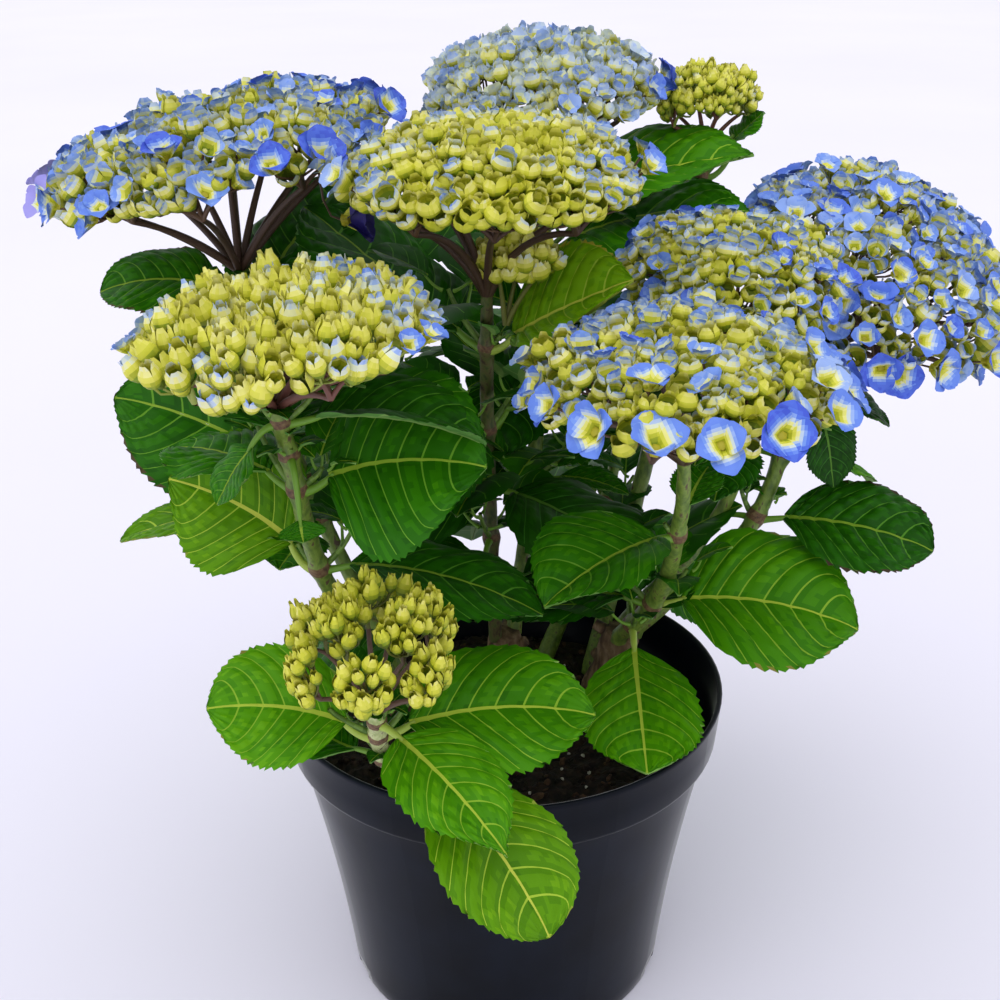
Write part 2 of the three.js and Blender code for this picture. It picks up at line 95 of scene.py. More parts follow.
def mix(a, b, share):
    return a + (b - a) * share


def smooth(low, high, value):
    u = np.clip((value - low) / (high - low), 0, 1)
    return u * u * (3 - 2 * u)


def level_way(azimuth):
    """The level direction at an angle in radians."""
    return np.array([math.cos(azimuth), math.sin(azimuth), 0])


def round_turns(count):
    return np.linspace(0, 2 * math.pi, count, endpoint=False)


def box_mm(corners):
    """A box's low and high corners, from metres."""
    return [np.array(corner) / MM for corner in corners]


def spans(vectors):
    """The length of each vector."""
    return np.linalg.norm(vectors, axis=-1)


def length_of(path):
    return spans(np.diff(path, axis=0)).sum()


def gaps_between(points, others):
    """The distance from each point to each of the others."""
    return spans(points[:, None] - others[None])


def ripples(points, size, seed, waves=7):
    """Smooth noise of about -1 to 1 over points, with bumps of about that size."""
    rng = np.random.default_rng(seed)
    ways = unit(rng.normal(size=(waves, 3))) * (2 * math.pi / size) * rng.uniform(0.6, 1.5, (waves, 1))
    shifts = rng.uniform(0, 2 * math.pi, waves)
    return np.sin(points @ ways.T + shifts).sum(-1) / math.sqrt(waves)


def smooth_path(points, count):
    """A cubic curve through points, resampled evenly."""
    at = np.concatenate([[0], np.cumsum(np.maximum(spans(np.diff(points, axis=0)), 1e-6))])
    slopes = np.gradient(points, at, axis=0)
    wanted = at[-1] * np.linspace(0, 1, count)
    k = np.clip(np.searchsorted(at, wanted) - 1, 0, len(at) - 2)
    width = at[k + 1] - at[k]
    u = ((wanted - at[k]) / width)[:, None]
    h = width[:, None]
    return (
        (2 * u**3 - 3 * u**2 + 1) * points[k]
        + (u**3 - 2 * u**2 + u) * h * slopes[k]
        + (3 * u**2 - 2 * u**3) * points[k + 1]
        + (u**3 - u**2) * h * slopes[k + 1]
    )


def bezier(start, bend, end, count):
    u = np.linspace(0, 1, count)[:, None]
    return (1 - u) ** 2 * start + 2 * u * (1 - u) * bend + u**2 * end


# ---- Materials ----
def linear(code):
    parts = np.array([int(code[i : i + 2], 16) for i in (1, 3, 5)]) / 255
    return np.where(parts <= 0.04045, parts / 12.92, ((parts + 0.055) / 1.055) ** 2.4)


def surface(name, colour, roughness=0.5, **sockets):
    """A principled surface of one plain colour, an sRGB code or linear numbers."""
    material = bpy.data.materials.new(name)
    material.use_nodes = True
    shader = material.node_tree.nodes["Principled BSDF"]
    rgb = linear(colour) if isinstance(colour, str) else colour
    shader.inputs["Base Color"].default_value = (*rgb, 1)
    shader.inputs["Roughness"].default_value = roughness
    for socket, value in sockets.items():
        shader.inputs[socket.replace("_", " ")].default_value = value
    return material


BUMP_DEPTH = 0.15  # a surface's bumps, for the width of its grain
COMMON_CUTS = (0.32, 0.68)  # between these the noise runs through a surface's colours


def mottled(name, colours, size, roughness=0.6, bump=0.3, detail=4, stretch=(1, 1, 1), cuts=None, **sockets):
    """A surface whose colour runs through several colours by noise, with a bump of the same grain."""
    material = surface(name, colours[0], roughness, **sockets)
    tree = material.node_tree
    nodes, link = tree.nodes, tree.links.new
    shader = nodes["Principled BSDF"]
    place = nodes.new("ShaderNodeTexCoord")
    scale = nodes.new("ShaderNodeMapping")
    scale.inputs["Scale"].default_value = stretch
    noise = nodes.new("ShaderNodeTexNoise")
    noise.inputs["Scale"].default_value = 1 / (size * MM)
    noise.inputs["Detail"].default_value = detail
    ramp = nodes.new("ShaderNodeValToRGB")
    stops = cuts or np.linspace(*COMMON_CUTS, len(colours))
    while len(ramp.color_ramp.elements) < len(colours):
        ramp.color_ramp.elements.new(0.5)
    for stop, at, colour in zip(ramp.color_ramp.elements, stops, colours):
        stop.position = at
        stop.color = (*linear(colour), 1)
    relief = nodes.new("ShaderNodeBump")
    relief.inputs["Strength"].default_value = bump
    relief.inputs["Distance"].default_value = size * BUMP_DEPTH * MM
    link(place.outputs["Object"], scale.inputs["Vector"])
    link(scale.outputs["Vector"], noise.inputs["Vector"])
    link(noise.outputs["Fac"], ramp.inputs["Fac"])
    link(ramp.outputs["Color"], shader.inputs["Base Color"])
    link(noise.outputs["Fac"], relief.inputs["Height"])
    link(relief.outputs["Normal"], shader.inputs["Normal"])
    return material


# ---- Meshes ----
class Bag:
    """Gathers faces from many small shapes into one mesh. Each face has the number of its material."""

    def __init__(self):
        self.points, self.faces, self.kinds, self.count = [], {3: [], 4: []}, {3: [], 4: []}, 0

    def add(self, points, faces, kind):
        points, faces = np.asarray(points, float).reshape(-1, 3), np.asarray(faces)
        sides = faces.shape[1]
        self.points.append(points)
        self.faces[sides].append(faces + self.count)
        self.kinds[sides].append(np.broadcast_to(kind, len(faces)))
        self.count += len(points)

    def add_rings(self, rings, kind):
        """A sheet through closed rings of points."""
        self.add(rings, grid_faces(len(rings), len(rings[0]), closed=True), kind)

    def build(self, name, materials, smooth=True):
        mesh = bpy.data.meshes.new(name)
        points = np.concatenate(self.points) * MM
        used = [s for s in (3, 4) if self.faces[s]]
        faces = {s: np.concatenate(self.faces[s]) for s in used}
        corners = np.concatenate([faces[s].ravel() for s in used])
        sizes = np.concatenate([np.full(len(faces[s]), s) for s in used])
        kinds = np.concatenate([np.concatenate(self.kinds[s]) for s in used])
        mesh.vertices.add(len(points))
        mesh.vertices.foreach_set("co", points.astype(np.float32).ravel())
        mesh.loops.add(len(corners))
        mesh.loops.foreach_set("vertex_index", corners.astype(np.int32))
        mesh.polygons.add(len(sizes))
        mesh.polygons.foreach_set("loop_start", (np.cumsum(sizes) - sizes).astype(np.int32))
        mesh.polygons.foreach_set("material_index", kinds.astype(np.int32))
        mesh.polygons.foreach_set("use_smooth", np.full(len(sizes), smooth))
        for material in materials:
            mesh.materials.append(material)
        mesh.update(calc_edges=True)
        mesh.validate()
        thing = bpy.data.objects.new(name, mesh)
        bpy.context.scene.collection.objects.link(thing)
        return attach(thing, "root")


def grid_faces(rows, columns, closed=False):
    """The faces of a sheet of rows by columns of points; closed joins the last column to the first."""
    r, c = np.meshgrid(np.arange(rows - 1), np.arange(columns if closed else columns - 1), indexing="ij")
    right = (c + 1) % columns
    corners = [r * columns + c, r * columns + right, (r + 1) * columns + right, (r + 1) * columns + c]
    return np.stack([k.ravel() for k in corners], 1)


def across(path):
    """Two directions across a path at each of its points, turning as little as they can."""
    ahead = unit(np.gradient(path, axis=0))
    side = np.cross(ahead[0], UP if abs(ahead[0, 2]) < 0.9 else np.array([1.0, 0, 0]))
    sides = []
    for way in ahead:
        side = unit(side - way * (side @ way))
        sides.append(side)
    sides = np.array(sides)
    return sides, np.cross(ahead, sides)


def fan(count):
    """Triangles from a ring of points to the one point after it."""
    loop = np.arange(count)
    return np.stack([loop, (loop + 1) % count, np.full(count, count)], 1)


def ring_ways(path, sides):
    """The directions round a limb at each point of its path."""
    first, second = across(path)
    turn = round_turns(sides)[:, None]
    return np.cos(turn) * first[:, None] + np.sin(turn) * second[:, None]


def tube(bag, path, radii, kind, sides=6, capped=False):
    """A round limb along a path."""
    radii = np.broadcast_to(radii, len(path))[:, None, None]
    rings = path[:, None] + radii * ring_ways(path, sides)
    bag.add_rings(rings, kind)
    if capped:
        bag.add(np.vstack([rings[-1], path[-1]]), fan(sides), kind)


# ---- Reading the solids ----
def solid_of(name):
    """A solid's own points in mm, each once, and its faces."""
    mesh = NODES[name].data
    points = np.zeros(len(mesh.vertices) * 3, np.float32)
    mesh.vertices.foreach_get("co", points)
    mesh.calc_loop_triangles()
    faces = np.zeros(len(mesh.loop_triangles) * 3, np.int32)
    mesh.loop_triangles.foreach_get("vertices", faces)
    grid = np.round(points.reshape(-1, 3).astype(float) / MM, 3)
    unique, place = np.unique(grid, axis=0, return_inverse=True)
    return unique, place.ravel()[faces].reshape(-1, 3)


def neighbours(faces, count):
    """The points that share an edge with each point."""
    joined = [set() for _ in range(count)]
    for a, b, c in faces:
        joined[a] |= {b, c}
        joined[b] |= {a, c}
        joined[c] |= {a, b}
    return joined


def around(joined, layer):
    """The points joined to any in a layer."""
    return set().union(*(joined[k] for k in layer))


def limb_rings(name):
    """The middle and mean radius of each ring of a limb's solid, from its foot up."""
    points, faces = solid_of(name)
    joined = neighbours(faces, len(points))
    foot = np.where(points[:, 2] < points[:, 2].min() + 0.05)[0]
    hub = foot[spans(points[foot] - points[foot].mean(0)).argmin()]
    seen, layer, rings = {hub}, {hub}, []
    while layer:
        layer = around(joined, layer) - seen
        seen |= layer
        if len(layer) > 2:
            ring = points[sorted(layer)]
            middle = ring.mean(0)
            rings.append((middle, spans(ring - middle).mean()))
    return np.array([m for m, _ in rings]), np.array([r for _, r in rings])


PATH_POINTS = 160  # enough along a limb or a leaf to find the nearest of them to a place


class Line:
    """A limb's middle line, from the rings of its solid."""

    def __init__(self, name):
        self.name = name
        self.rings, self.radii = limb_rings(name)
        self.path = smooth_path(self.rings, PATH_POINTS)

    def nearest(self, points):
        gaps = gaps_between(points, self.path)
        return gaps.min(1), gaps.argmin(1)


# ---- Leaves: reading each leaf's place from its pair's solid ----
COLLAR_REACH = 8.4  # a pair's ring lies within this of its stem's middle line
RIB_WIDTH = 1.75  # a leaf's points this near its axis are its midrib's
SECTION_GAP = 3.0  # those further apart than this along the leaf are of different sections


class Leaf:
    """One leaf's place: its midrib, its half width and the slopes of its two halves."""

    def __init__(self, root, points):
        self.root = root
        away = points - root
        tip = points[spans(away).argmax()]
        self.along = unit(np.array([*(tip - root)[:2], 0]))
        self.left = np.cross(UP, self.along)
        reach, side = away @ self.along, away @ self.left
        self.midrib = self.read_midrib(points, reach, side, tip)
        self.read_halves(points)
        self.azimuth = math.degrees(math.atan2(self.along[1], self.along[0]))

    def read_midrib(self, points, reach, side, tip):
        """Each section has a point above and below the midrib; their mean lies on it."""
        near = np.where(np.abs(side) < RIB_WIDTH)[0]
        near = near[np.argsort(reach[near])]
        groups, last = [], None
        for k in near:
            if last is None or reach[k] - last > SECTION_GAP:
                groups.append([])
            groups[-1].append(k)
            last = reach[k]
        end = (tip - self.root) @ self.along - 2.5
        middles = [points[g].mean(0) for g in groups if reach[g].mean() < end]
        path = np.array([*middles, tip])
        offset = (path - self.root) @ self.left
        return path - np.outer(offset * np.linspace(1, 0, len(path)), self.left)

    def read_halves(self, points):
        """Half width and slope of each half, from the solid's edge points."""
        fine = smooth_path(self.midrib, 80)
        ahead = unit(np.gradient(fine, axis=0))
        above = np.cross(ahead, self.left)
        nearest = gaps_between(points, fine).argmin(1)
        offset = points - fine[nearest]
        y, z = offset @ self.left, (offset * above[nearest]).sum(1)
        gap = np.hypot(y, z)
        self.half, self.slopes = 0, []
        for sign in (1, -1):
            far = (gap > 3) & (np.abs(np.arctan2(z, y * sign)) < 1.75)
            self.half = max(self.half, gap[far].max() if far.any() else 0)
            wide = far & (gap > 0.45 * self.half)
            self.slopes.append(np.median(np.arctan2(z[wide], y[wide] * sign)) if wide.any() else 0.2)


def leaves_of(node, line):
    """Where a pair of leaves leaves its stem, and each of the leaves."""
    points, faces = solid_of(node)
    gap, _ = line.nearest(points)
    root = line.path[line.nearest(points[gap < COLLAR_REACH])[1]].mean(0)
    free = gap > COLLAR_REACH
    joined = neighbours(faces, len(points))
    left, found = set(np.where(free)[0]), []
    while left:
        layer = {left.pop()}
        part = set(layer)
        while layer:
            layer = (around(joined, layer) & left) - part
            part |= layer
            left -= layer
        if len(part) > 10:
            found.append(Leaf(root, points[sorted(part)]))
    return root, found


# ---- Leaves: colours ----
GREENS = {
    "lime": ("#427600", "#4e8300", "#5a9002", "#689d06", "#77aa0c"),
    "fresh": ("#2c6a00", "#367800", "#428500", "#4f9202", "#5f9f08"),
    "mid": ("#1d5800", "#256500", "#2f7300", "#3c8002", "#4b8e06"),
    "deep": ("#124500", "#195100", "#205e00", "#2a6b02", "#377906"),
    "dark": ("#0d3300", "#113d00", "#174900", "#1e5502", "#286204"),
}
TONES = list(GREENS)
# These shades are dealt partly as painted shade in a blade's hollows and painted light on its swells.
SHADES = 5  # tones of one green over a blade, dark to light
# Of each other part: how rough it is, how far it shines, and its colour on each tone of leaf.
PARTS = {
    "rib": (0.5, 0.13, ("#c2cc4c", "#a8c03c", "#90b034", "#7c9e2c", "#54802c")),
    "vein": (0.5, 0.13, ("#a2c038", "#86b02c", "#669c28", "#508a24", "#357020")),
    "edge": (0.6, 0.3, ("#a8a030", "#7d7a28", "#4b3f20", "#3c2c1a", "#302018")),
    "underside": (0.65, 0.2, ("#94a838", "#79a848", "#6a9a42", "#55863a", "#44702f")),
    "underside_vein": (0.6, 0.2, ("#b0b850", "#a0c068", "#92b45e", "#7a9f50", "#648a42")),
}
PART_KINDS = {name: SHADES + k for k, name in enumerate(PARTS)}
KINDS_PER_TONE = SHADES + len(PARTS)
PALE_STALK = KINDS_PER_TONE * len(TONES)
GREEN_STALK = PALE_STALK + 1


def leaf_materials():
    made = []
    for k, tone in enumerate(TONES):
        made += [surface(f"leaf_{tone}_{j + 1}", code, 0.5, Specular_IOR_Level=0.13)
                 for j, code in enumerate(GREENS[tone])]
        made += [surface(f"leaf_{tone}_{part}", codes[k], rough, Specular_IOR_Level=shine)
                 for part, (rough, shine, codes) in PARTS.items()]
    return made + [surface("leaf_stalk_pale", "#a4bc48", 0.5), surface("leaf_stalk_green", "#6a9628", 0.5)]


# ---- Leaves: the blade ----
# The blade's mesh follows its veins: rows run out along them, from the midrib to the edge.
OUTLINE_AT = [0, 0.03, 0.1, 0.2, 0.32, 0.45, 0.58, 0.7, 0.8, 0.88, 0.94, 0.975, 1]
POINTED = [0.06, 0.24, 0.56, 0.83, 0.98, 1.0, 0.93, 0.77, 0.55, 0.31, 0.13, 0.05, 0.0]
BLUNT = [0.06, 0.18, 0.46, 0.74, 0.92, 1.0, 1.02, 0.97, 0.85, 0.66, 0.43, 0.22, 0.0]
THICK = 0.45  # a blade's least thickness, in mm


class Weave:
    """How finely a blade is made: its veins, the rows between two of them and its columns."""

    def __init__(self, leaves_rib, reaches_edge, steps, columns, beneath):
        self.rib, self.rim = leaves_rib, reaches_edge
        self.veins = len(leaves_rib) - 1
        self.steps = steps
        rows = [k + s for k in range(self.veins) for s in steps]
        self.rows = np.array(rows + [self.veins])
        self.columns = np.array(columns)
        self.beneath = np.array(beneath)
        self.tips = np.arange(len(self.rows)) % 2 == 0


# Shares of the blade's length at which each vein leaves the midrib and reaches the edge. The underside is
# made with fewer columns than the top.
FULL = Weave(
    [0, 0.03, 0.1, 0.2, 0.32, 0.46, 0.61, 0.78, 1],
    [0, 0.21, 0.4, 0.56, 0.69, 0.8, 0.89, 0.955, 1],
    [0, 0.23, 0.46, 0.69, 0.92],
    [0, 0.001, 0.06, 0.13, 0.2, 0.27, 0.34, 0.41, 0.48, 0.55, 0.62, 0.69, 0.76, 0.83, 0.9, 0.955, 1],
    [0, 2, 5, 8, 11, 14, 16],
)
SMALL = Weave(
    [0, 0.05, 0.17, 0.34, 0.6, 1],
    [0, 0.28, 0.52, 0.72, 0.87, 1],
    [0, 0.45, 0.91],
    [0, 0.001, 0.25, 0.5, 0.75, 1],
    [0, 3, 5],
)


@dataclass
class Look:
    """How one leaf differs from the plain one."""

    tone: str = "mid"
    breadth: float = 1.06  # of its width in the solid
    cup: float = 0.1  # how far the halves rise beside the midrib, in radians
    curl: float = -0.12  # and how far they bend at the edge
    wave: float = 1.2  # how wavy the edge is, in mm
    # On some leaves these lighter shades are painted light, as on the lit-through leaf of the centre's first
    # pair.
    light: float = 0.0  # shades lighter
    edge: float = 0.0  # share of the rim that is brown
    rim_light: float = 0.0  # shades lighter at the rim
    tooth: float = 1.0
    quilt: float = 1.0  # how high the blade swells between its veins
    blunt: float = 0.45  # from the pointed outline to the blunt one
    stretch: float = 1.0
    fold: tuple = (0, 0)  # degrees by which each half is raised
    lift: float = 0  # of the tip, in mm


def blade_shape(leaf, weave, rng):
    """One half's points: share along, share across, and how far each is raised, -0.3 in a vein to about 1."""
    at, t = np.meshgrid(weave.rows, weave.columns, indexing="ij")
    vein_row = (at % 1 > 0.9) & (at < weave.veins)
    at = np.where(vein_row, at + 0.04 * t, at)
    knots = np.arange(weave.veins + 1)
    start, end = np.interp(at, knots, weave.rib), np.interp(at, knots, weave.rim)
    along = start + (end - start) * (0.55 * t + 0.45 * t**2)
    strip = np.minimum(at.astype(int), weave.veins)
    between = np.sin(math.pi * np.clip(at % 1 / 0.93, 0, 1)) ** 0.6
    shift = rng.uniform(0, 6, weave.veins + 1)[strip] + 1.5 * np.floor(at % 1 * 2)
    puckers = 0.5 + 0.5 * np.cos(t * leaf.half * 1.15 + shift)
    raised = between * puckers * rng.uniform(0.75, 1.25, weave.veins + 1)[strip]
    raised += rng.normal(0, 0.14, t.shape) * (t > 0.01)
    level_ends = np.sin(math.pi * np.clip(t * 0.97, 0, 1)) ** 0.5
    return along, t, raised * level_ends - 0.3 * (1 - between) * (t < 0.97)


def tooth_steps(weave, tooth):
    """How far each row's end stands out and forward, as the teeth of a saw."""
    strength = np.clip((weave.rows - 0.9) / 0.5, 0, 1) * np.clip((weave.veins - weave.rows) / 0.4, 0, 1)
    out, forward = np.where(weave.tips, 0.85, -0.5), np.where(weave.tips, 0.9, 0.0)
    return out * tooth * strength, forward * tooth * strength


def blade_run(leaf, look):
    """The midrib's line, drawn out and lifted as the look says."""
    run = smooth_path(leaf.midrib, PATH_POINTS)
    rise = np.linspace(0, 1, PATH_POINTS)[:, None] ** 1.6
    return run[0] + (run - run[0]) * look.stretch + UP * look.lift * rise


def out_from_rib(leaf, look, along, t):
    """Each point's distance from the midrib's middle: the first column is there, the next at its side."""
    outline = mix(np.array(POINTED), np.array(BLUNT), look.blunt)
    width = np.interp(along, OUTLINE_AT, outline) * leaf.half * look.breadth
    rib = np.minimum(mix(1.3, 0.3, along**0.7) * min(1, leaf.half / 24), width * 0.9)
    return np.where(t == 0, 0, rib + (width - rib) * (t - 0.001) / 0.999)


def blade(bag, leaf, weave, look, rng):
    """One blade as a thin solid with veins, puckers and teeth. Returns its foot and the way it starts."""
    run = blade_run(leaf, look)
    ahead = unit(np.gradient(run, axis=0))
    above = np.cross(ahead, leaf.left)
    length = length_of(run)
    out, forward = tooth_steps(weave, look.tooth * min(1, leaf.half / 22))
    phase = rng.uniform(0, 6, 2)
    for sign, slope in zip((1, -1), leaf.slopes + np.radians(look.fold)):
        along, t, raised = blade_shape(leaf, weave, rng)
        along[:, -1] += forward / length
        along = np.clip(along, 0, 1)
        y = out_from_rib(leaf, look, along, t)
        y[:, -1] += out
        share = y / leaf.half
        tilt = slope + look.cup * (0.5 - share) + look.curl * share**2
        lift = raised * 0.95 * min(leaf.half / 30, 1.1) * look.quilt + 0.3 * (t == 0)
        lift += look.wave * share**2 * np.sin(along * 9 + phase[0] + sign)
        lift += look.wave * 0.4 * share * np.sin(along * 17 + phase[1] * sign)
        k = along * (PATH_POINTS - 1)
        low = np.clip(k.astype(int), 0, PATH_POINTS - 2)
        part = (k - low)[..., None]
        place, up = mix(run[low], run[low + 1], part), mix(above[low], above[low + 1], part)
        side = leaf.left * sign
        cos, sin = np.cos(tilt)[..., None], np.sin(tilt)[..., None]
        normal = up * cos - side * sin
        top = place + (side * cos + up * sin) * y[..., None] + normal * lift[..., None]
        sunk = normal * thickness(lift, weave)[..., None]
        add_half(bag, top, sunk, sign, weave, look, blade_kinds(weave, look, raised, rng))
    return run[0], ahead[0]


def thickness(lift, weave):
    """How far the underside lies beneath the top: below the lowest puckers near it, and thin at the edge."""
    near = np.lib.stride_tricks.sliding_window_view(np.pad(lift, ((1, 1), (3, 3)), "edge"), (3, 7))
    drop = lift - near.min((2, 3)) + THICK
    drop[:, 0] = THICK + 0.6
    return drop * np.minimum(1, (1 - weave.columns) * 12)


def add_half(bag, top, sunk, sign, weave, look, kinds):
    """The top of half a blade and, with fewer columns, its underside."""
    rows, columns, beneath = len(weave.rows), len(weave.columns), weave.beneath
    first = TONES.index(look.tone) * KINDS_PER_TONE
    faces, under = grid_faces(rows, columns), grid_faces(rows, len(beneath))
    ribbed = np.isin(kinds[:, beneath[:-1]], (PART_KINDS["vein"], PART_KINDS["rib"])).ravel()
    turned = slice(None, None, -1)
    bag.add(top, faces[:, turned] if sign > 0 else faces, first + kinds.ravel())
    bag.add((top - sunk)[:, beneath], under if sign > 0 else under[:, turned],
            first + np.where(ribbed, PART_KINDS["underside_vein"], PART_KINDS["underside"]))


def blade_kinds(weave, look, raised, rng):
    """The part or shade of each face of half a blade: painted shade beside the veins, painted light where it
    swells.
    """
    rows, columns = len(weave.rows) - 1, len(weave.columns) - 1
    row, column = np.meshgrid(np.arange(rows), np.arange(columns), indexing="ij")
    step, strip = row % len(weave.steps), row // len(weave.steps)
    x, y = row / len(weave.steps), column / columns
    painted_light_swell = (raised[:-1, :-1] + raised[1:, :-1] + raised[:-1, 1:] + raised[1:, 1:]) / 4
    # Painted light and shade: faces high on a swell are lighter and those sunk beside the veins darker.
    level = 1.0 + 2.1 * painted_light_swell + look.light + look.rim_light * smooth(0.55, 1, y)
    level = level + rng.normal(0, 0.2, weave.veins)[strip] + rng.normal(0, 0.2, x.shape)
    level = level + 0.3 * np.sin(x * 1.3 + rng.uniform(0, 6)) * np.sin(y * 4.5 + rng.uniform(0, 6))
    kinds = np.clip(np.round(level), 0, SHADES - 1).astype(int)
    kinds[(step == len(weave.steps) - 1) & (column < columns - 1)] = PART_KINDS["vein"]
    kinds[:, 0] = PART_KINDS["rib"]
    if look.edge:
        rim = (column == columns - 1) & (x > 1.2) & (rng.random(x.shape) < look.edge)
        kinds[rim] = PART_KINDS["edge"]
    return kinds


STALK_RADII = np.array([1.35, 1.15, 1.0, 0.92, 0.88, 0.84, 0.78, 0.66, 0.4])


def stalk(bag, leaf, joint, ahead, kind, radius=1.9):
    """The leaf's stalk, clasping the stem at its foot and running on into the midrib."""
    foot = leaf.root + leaf.along * 2.4 - UP * 0.8
    reach = np.linalg.norm(joint - foot)
    end = joint + ahead * 2.5
    path = bezier(foot, foot + leaf.along * reach * 0.45 + UP * 0.8, end, len(STALK_RADII))
    tube(bag, path, STALK_RADII * radius * min(1.0, 0.5 + leaf.half / 60), kind, sides=8)


# ---- Leaves: what each is like ----
# Those that differ, by their pair's node and the way they point.
LOOKS = {
    "leaves_back_1 right": Look("fresh", light=-0.2, blunt=0, fold=(24, -12), lift=10, quilt=1.4),
    "leaves_back_1 left": Look("deep", breadth=1.25, stretch=1.1, lift=-4, fold=(-32, 0)),
    "leaves_back_2 right": Look("mid", light=0.3, blunt=0.2, fold=(10, -22), quilt=1.4),
    "leaves_back_4 right": Look("mid", breadth=0.6, stretch=0.7),
    "leaves_back_4 left": Look("deep", light=-0.3, breadth=1.15, fold=(-38, 0)),
    "leaves_back_right_1 right": Look("mid", light=0.5, stretch=0.75, lift=4),
    # Its 2.2 lighter shades are painted light: the glow of light shining through the leaf from behind, under
    # the head above.
    "leaves_centre_1 right": Look("lime", light=2.2, edge=0.6, cup=0.0, curl=0.0, quilt=1.5,
        fold=(18, -60)),
    "leaves_centre_1 left": Look("deep", breadth=1.3, stretch=1.15, quilt=1.8, lift=34),
    "leaves_centre_2 back": Look("deep", breadth=1.1, lift=14),
    "leaves_centre_3 right": Look("dark", light=1.0, breadth=1.35, stretch=1.15),
    "leaves_centre_3 left": Look("deep", breadth=1.2, lift=20),
    "leaves_centre_4 back": Look("deep", breadth=1.4, stretch=1.1, lift=-3),
    "leaves_centre_4 front": Look("deep", breadth=1.4, stretch=1.2, lift=44),
    "leaves_far_right_1 right": Look("dark", edge=0.4),
    "leaves_far_right_1 front": Look("dark", breadth=0.8, stretch=0.92),
    "leaves_far_right_2 right": Look("fresh", light=1.4, fold=(0, -10), stretch=0.8, breadth=0.9,
        lift=-9),
    "leaves_far_right_3 right": Look("deep", light=0.1, edge=0.7, quilt=2.0, blunt=0.9, stretch=0.97,
        fold=(-14, 12), lift=6),
    "leaves_far_right_3 left": Look("deep", breadth=0.45, stretch=0.45),
    "leaves_left_front_1 right": Look("deep"),
    "leaves_left_front_1 left": Look("mid", light=0.4),
    "leaves_left_front_2 front": Look("mid", breadth=0.62, stretch=0.8, lift=8),
    "leaves_left_front_3 right": Look("mid", light=-0.2, breadth=1.2),
    "leaves_left_front_4 right": Look("deep", stretch=1.2, breadth=1.2),
    "leaves_left_front_4 left": Look("lime", light=0.1, stretch=0.97, breadth=1.08),
    "leaves_left_tall_1 back": Look("deep", breadth=1.25, stretch=1.15, quilt=1.8, lift=18),
    "leaves_left_tall_1 left": Look("mid", edge=0.5, blunt=0.9),
    "leaves_left_tall_2 left": Look("mid", light=-0.3, edge=0.7, blunt=0.4, breadth=1.0, quilt=1.4),
    "leaves_left_tall_3 left": Look("lime", light=0.3, blunt=1, breadth=0.65, lift=1),
    "leaves_left_tall_3 front": Look("mid", lift=8, stretch=0.75, breadth=0.9),
    "leaves_low_front_1 front": Look("fresh", light=0.9, rim_light=0.2, blunt=-0.1, breadth=1.0),
    "leaves_low_front_2 right": Look("fresh", rim_light=0.8, light=0.1),
    "leaves_low_front_2 left": Look("fresh", rim_light=1.2, light=1.2, edge=0.15, blunt=0.8, breadth=0.93,
        stretch=0.93, fold=(-8, 6)),
    "leaves_low_front_3 left": Look("mid", stretch=1.1, lift=24),
    "leaves_low_front_3 front": Look("lime", rim_light=0.5, light=0.2, tooth=0.8, blunt=1, breadth=0.93,
        stretch=1.08),
    "leaves_right_2 front": Look("deep", breadth=0.8, stretch=0.8),
    "leaves_right_front_1 back": Look("mid", breadth=0.6, stretch=0.6),
    "leaves_right_front_1 left": Look("mid", light=0.6),
    "leaves_right_front_2 right": Look("fresh", light=0.4, edge=0.3, blunt=0.4, breadth=1.14,
        stretch=0.97, fold=(0, 9), quilt=1.4),
    "leaves_right_front_3 front": Look("fresh", rim_light=0.5, light=0.7, blunt=0.9, breadth=0.86,
        stretch=1.45, lift=42),
    "shoot_leaves_back_left_1 right": Look("deep", breadth=1.5, stretch=1.3, lift=17),
}
INNER_TONES = ["mid", "deep", "deep", "mid"]


def compass(azimuth):
    """The way a leaf points, in degrees from the right round by the back."""
    return ["right", "back", "left", "front"][round(azimuth % 360 / 90) % 4]


# ---- Side shoots ----
# Gaps right through the crown that stay open: two points on each, and how far round it is clear, in mm.
CLEARINGS = (((61, -50, 263), (85, 150, 177), 17), ((85, -50, 253), (119, 150, 162), 16))


class YoungLeaf:
    """A small leaf grown on from a side shoot: an arching midrib with two rising halves."""

    def __init__(self, root, azimuth, rise, length, rng):
        way = level_way(azimuth)
        fall = rng.uniform(0.35, 0.9)
        slopes = rise - fall * np.linspace(0, 1, 8)
        steps = way * np.cos(slopes)[:, None] + UP * np.sin(slopes)[:, None]
        self.root, self.along, self.left = root, way, np.cross(UP, way)
        stalk_length = length * 0.16
        self.midrib = root + unit(steps[0]) * stalk_length + np.cumsum(steps, 0) * (length - stalk_length) / 8
        self.half = length * rng.uniform(0.25, 0.32)
        self.slopes = [rng.uniform(0.15, 0.5), rng.uniform(0.15, 0.5)]


SHOOT_GREENS = ("#4d6c20", "#5f7f28", "#70903a")
SHOOT_PAIRS = ((1.0, 0.62), (0.55, 1.0))  # of each pair of leaves: how far up the shoot, and its size
LEAST_LEAF = 9  # shorter ones are left out, in mm


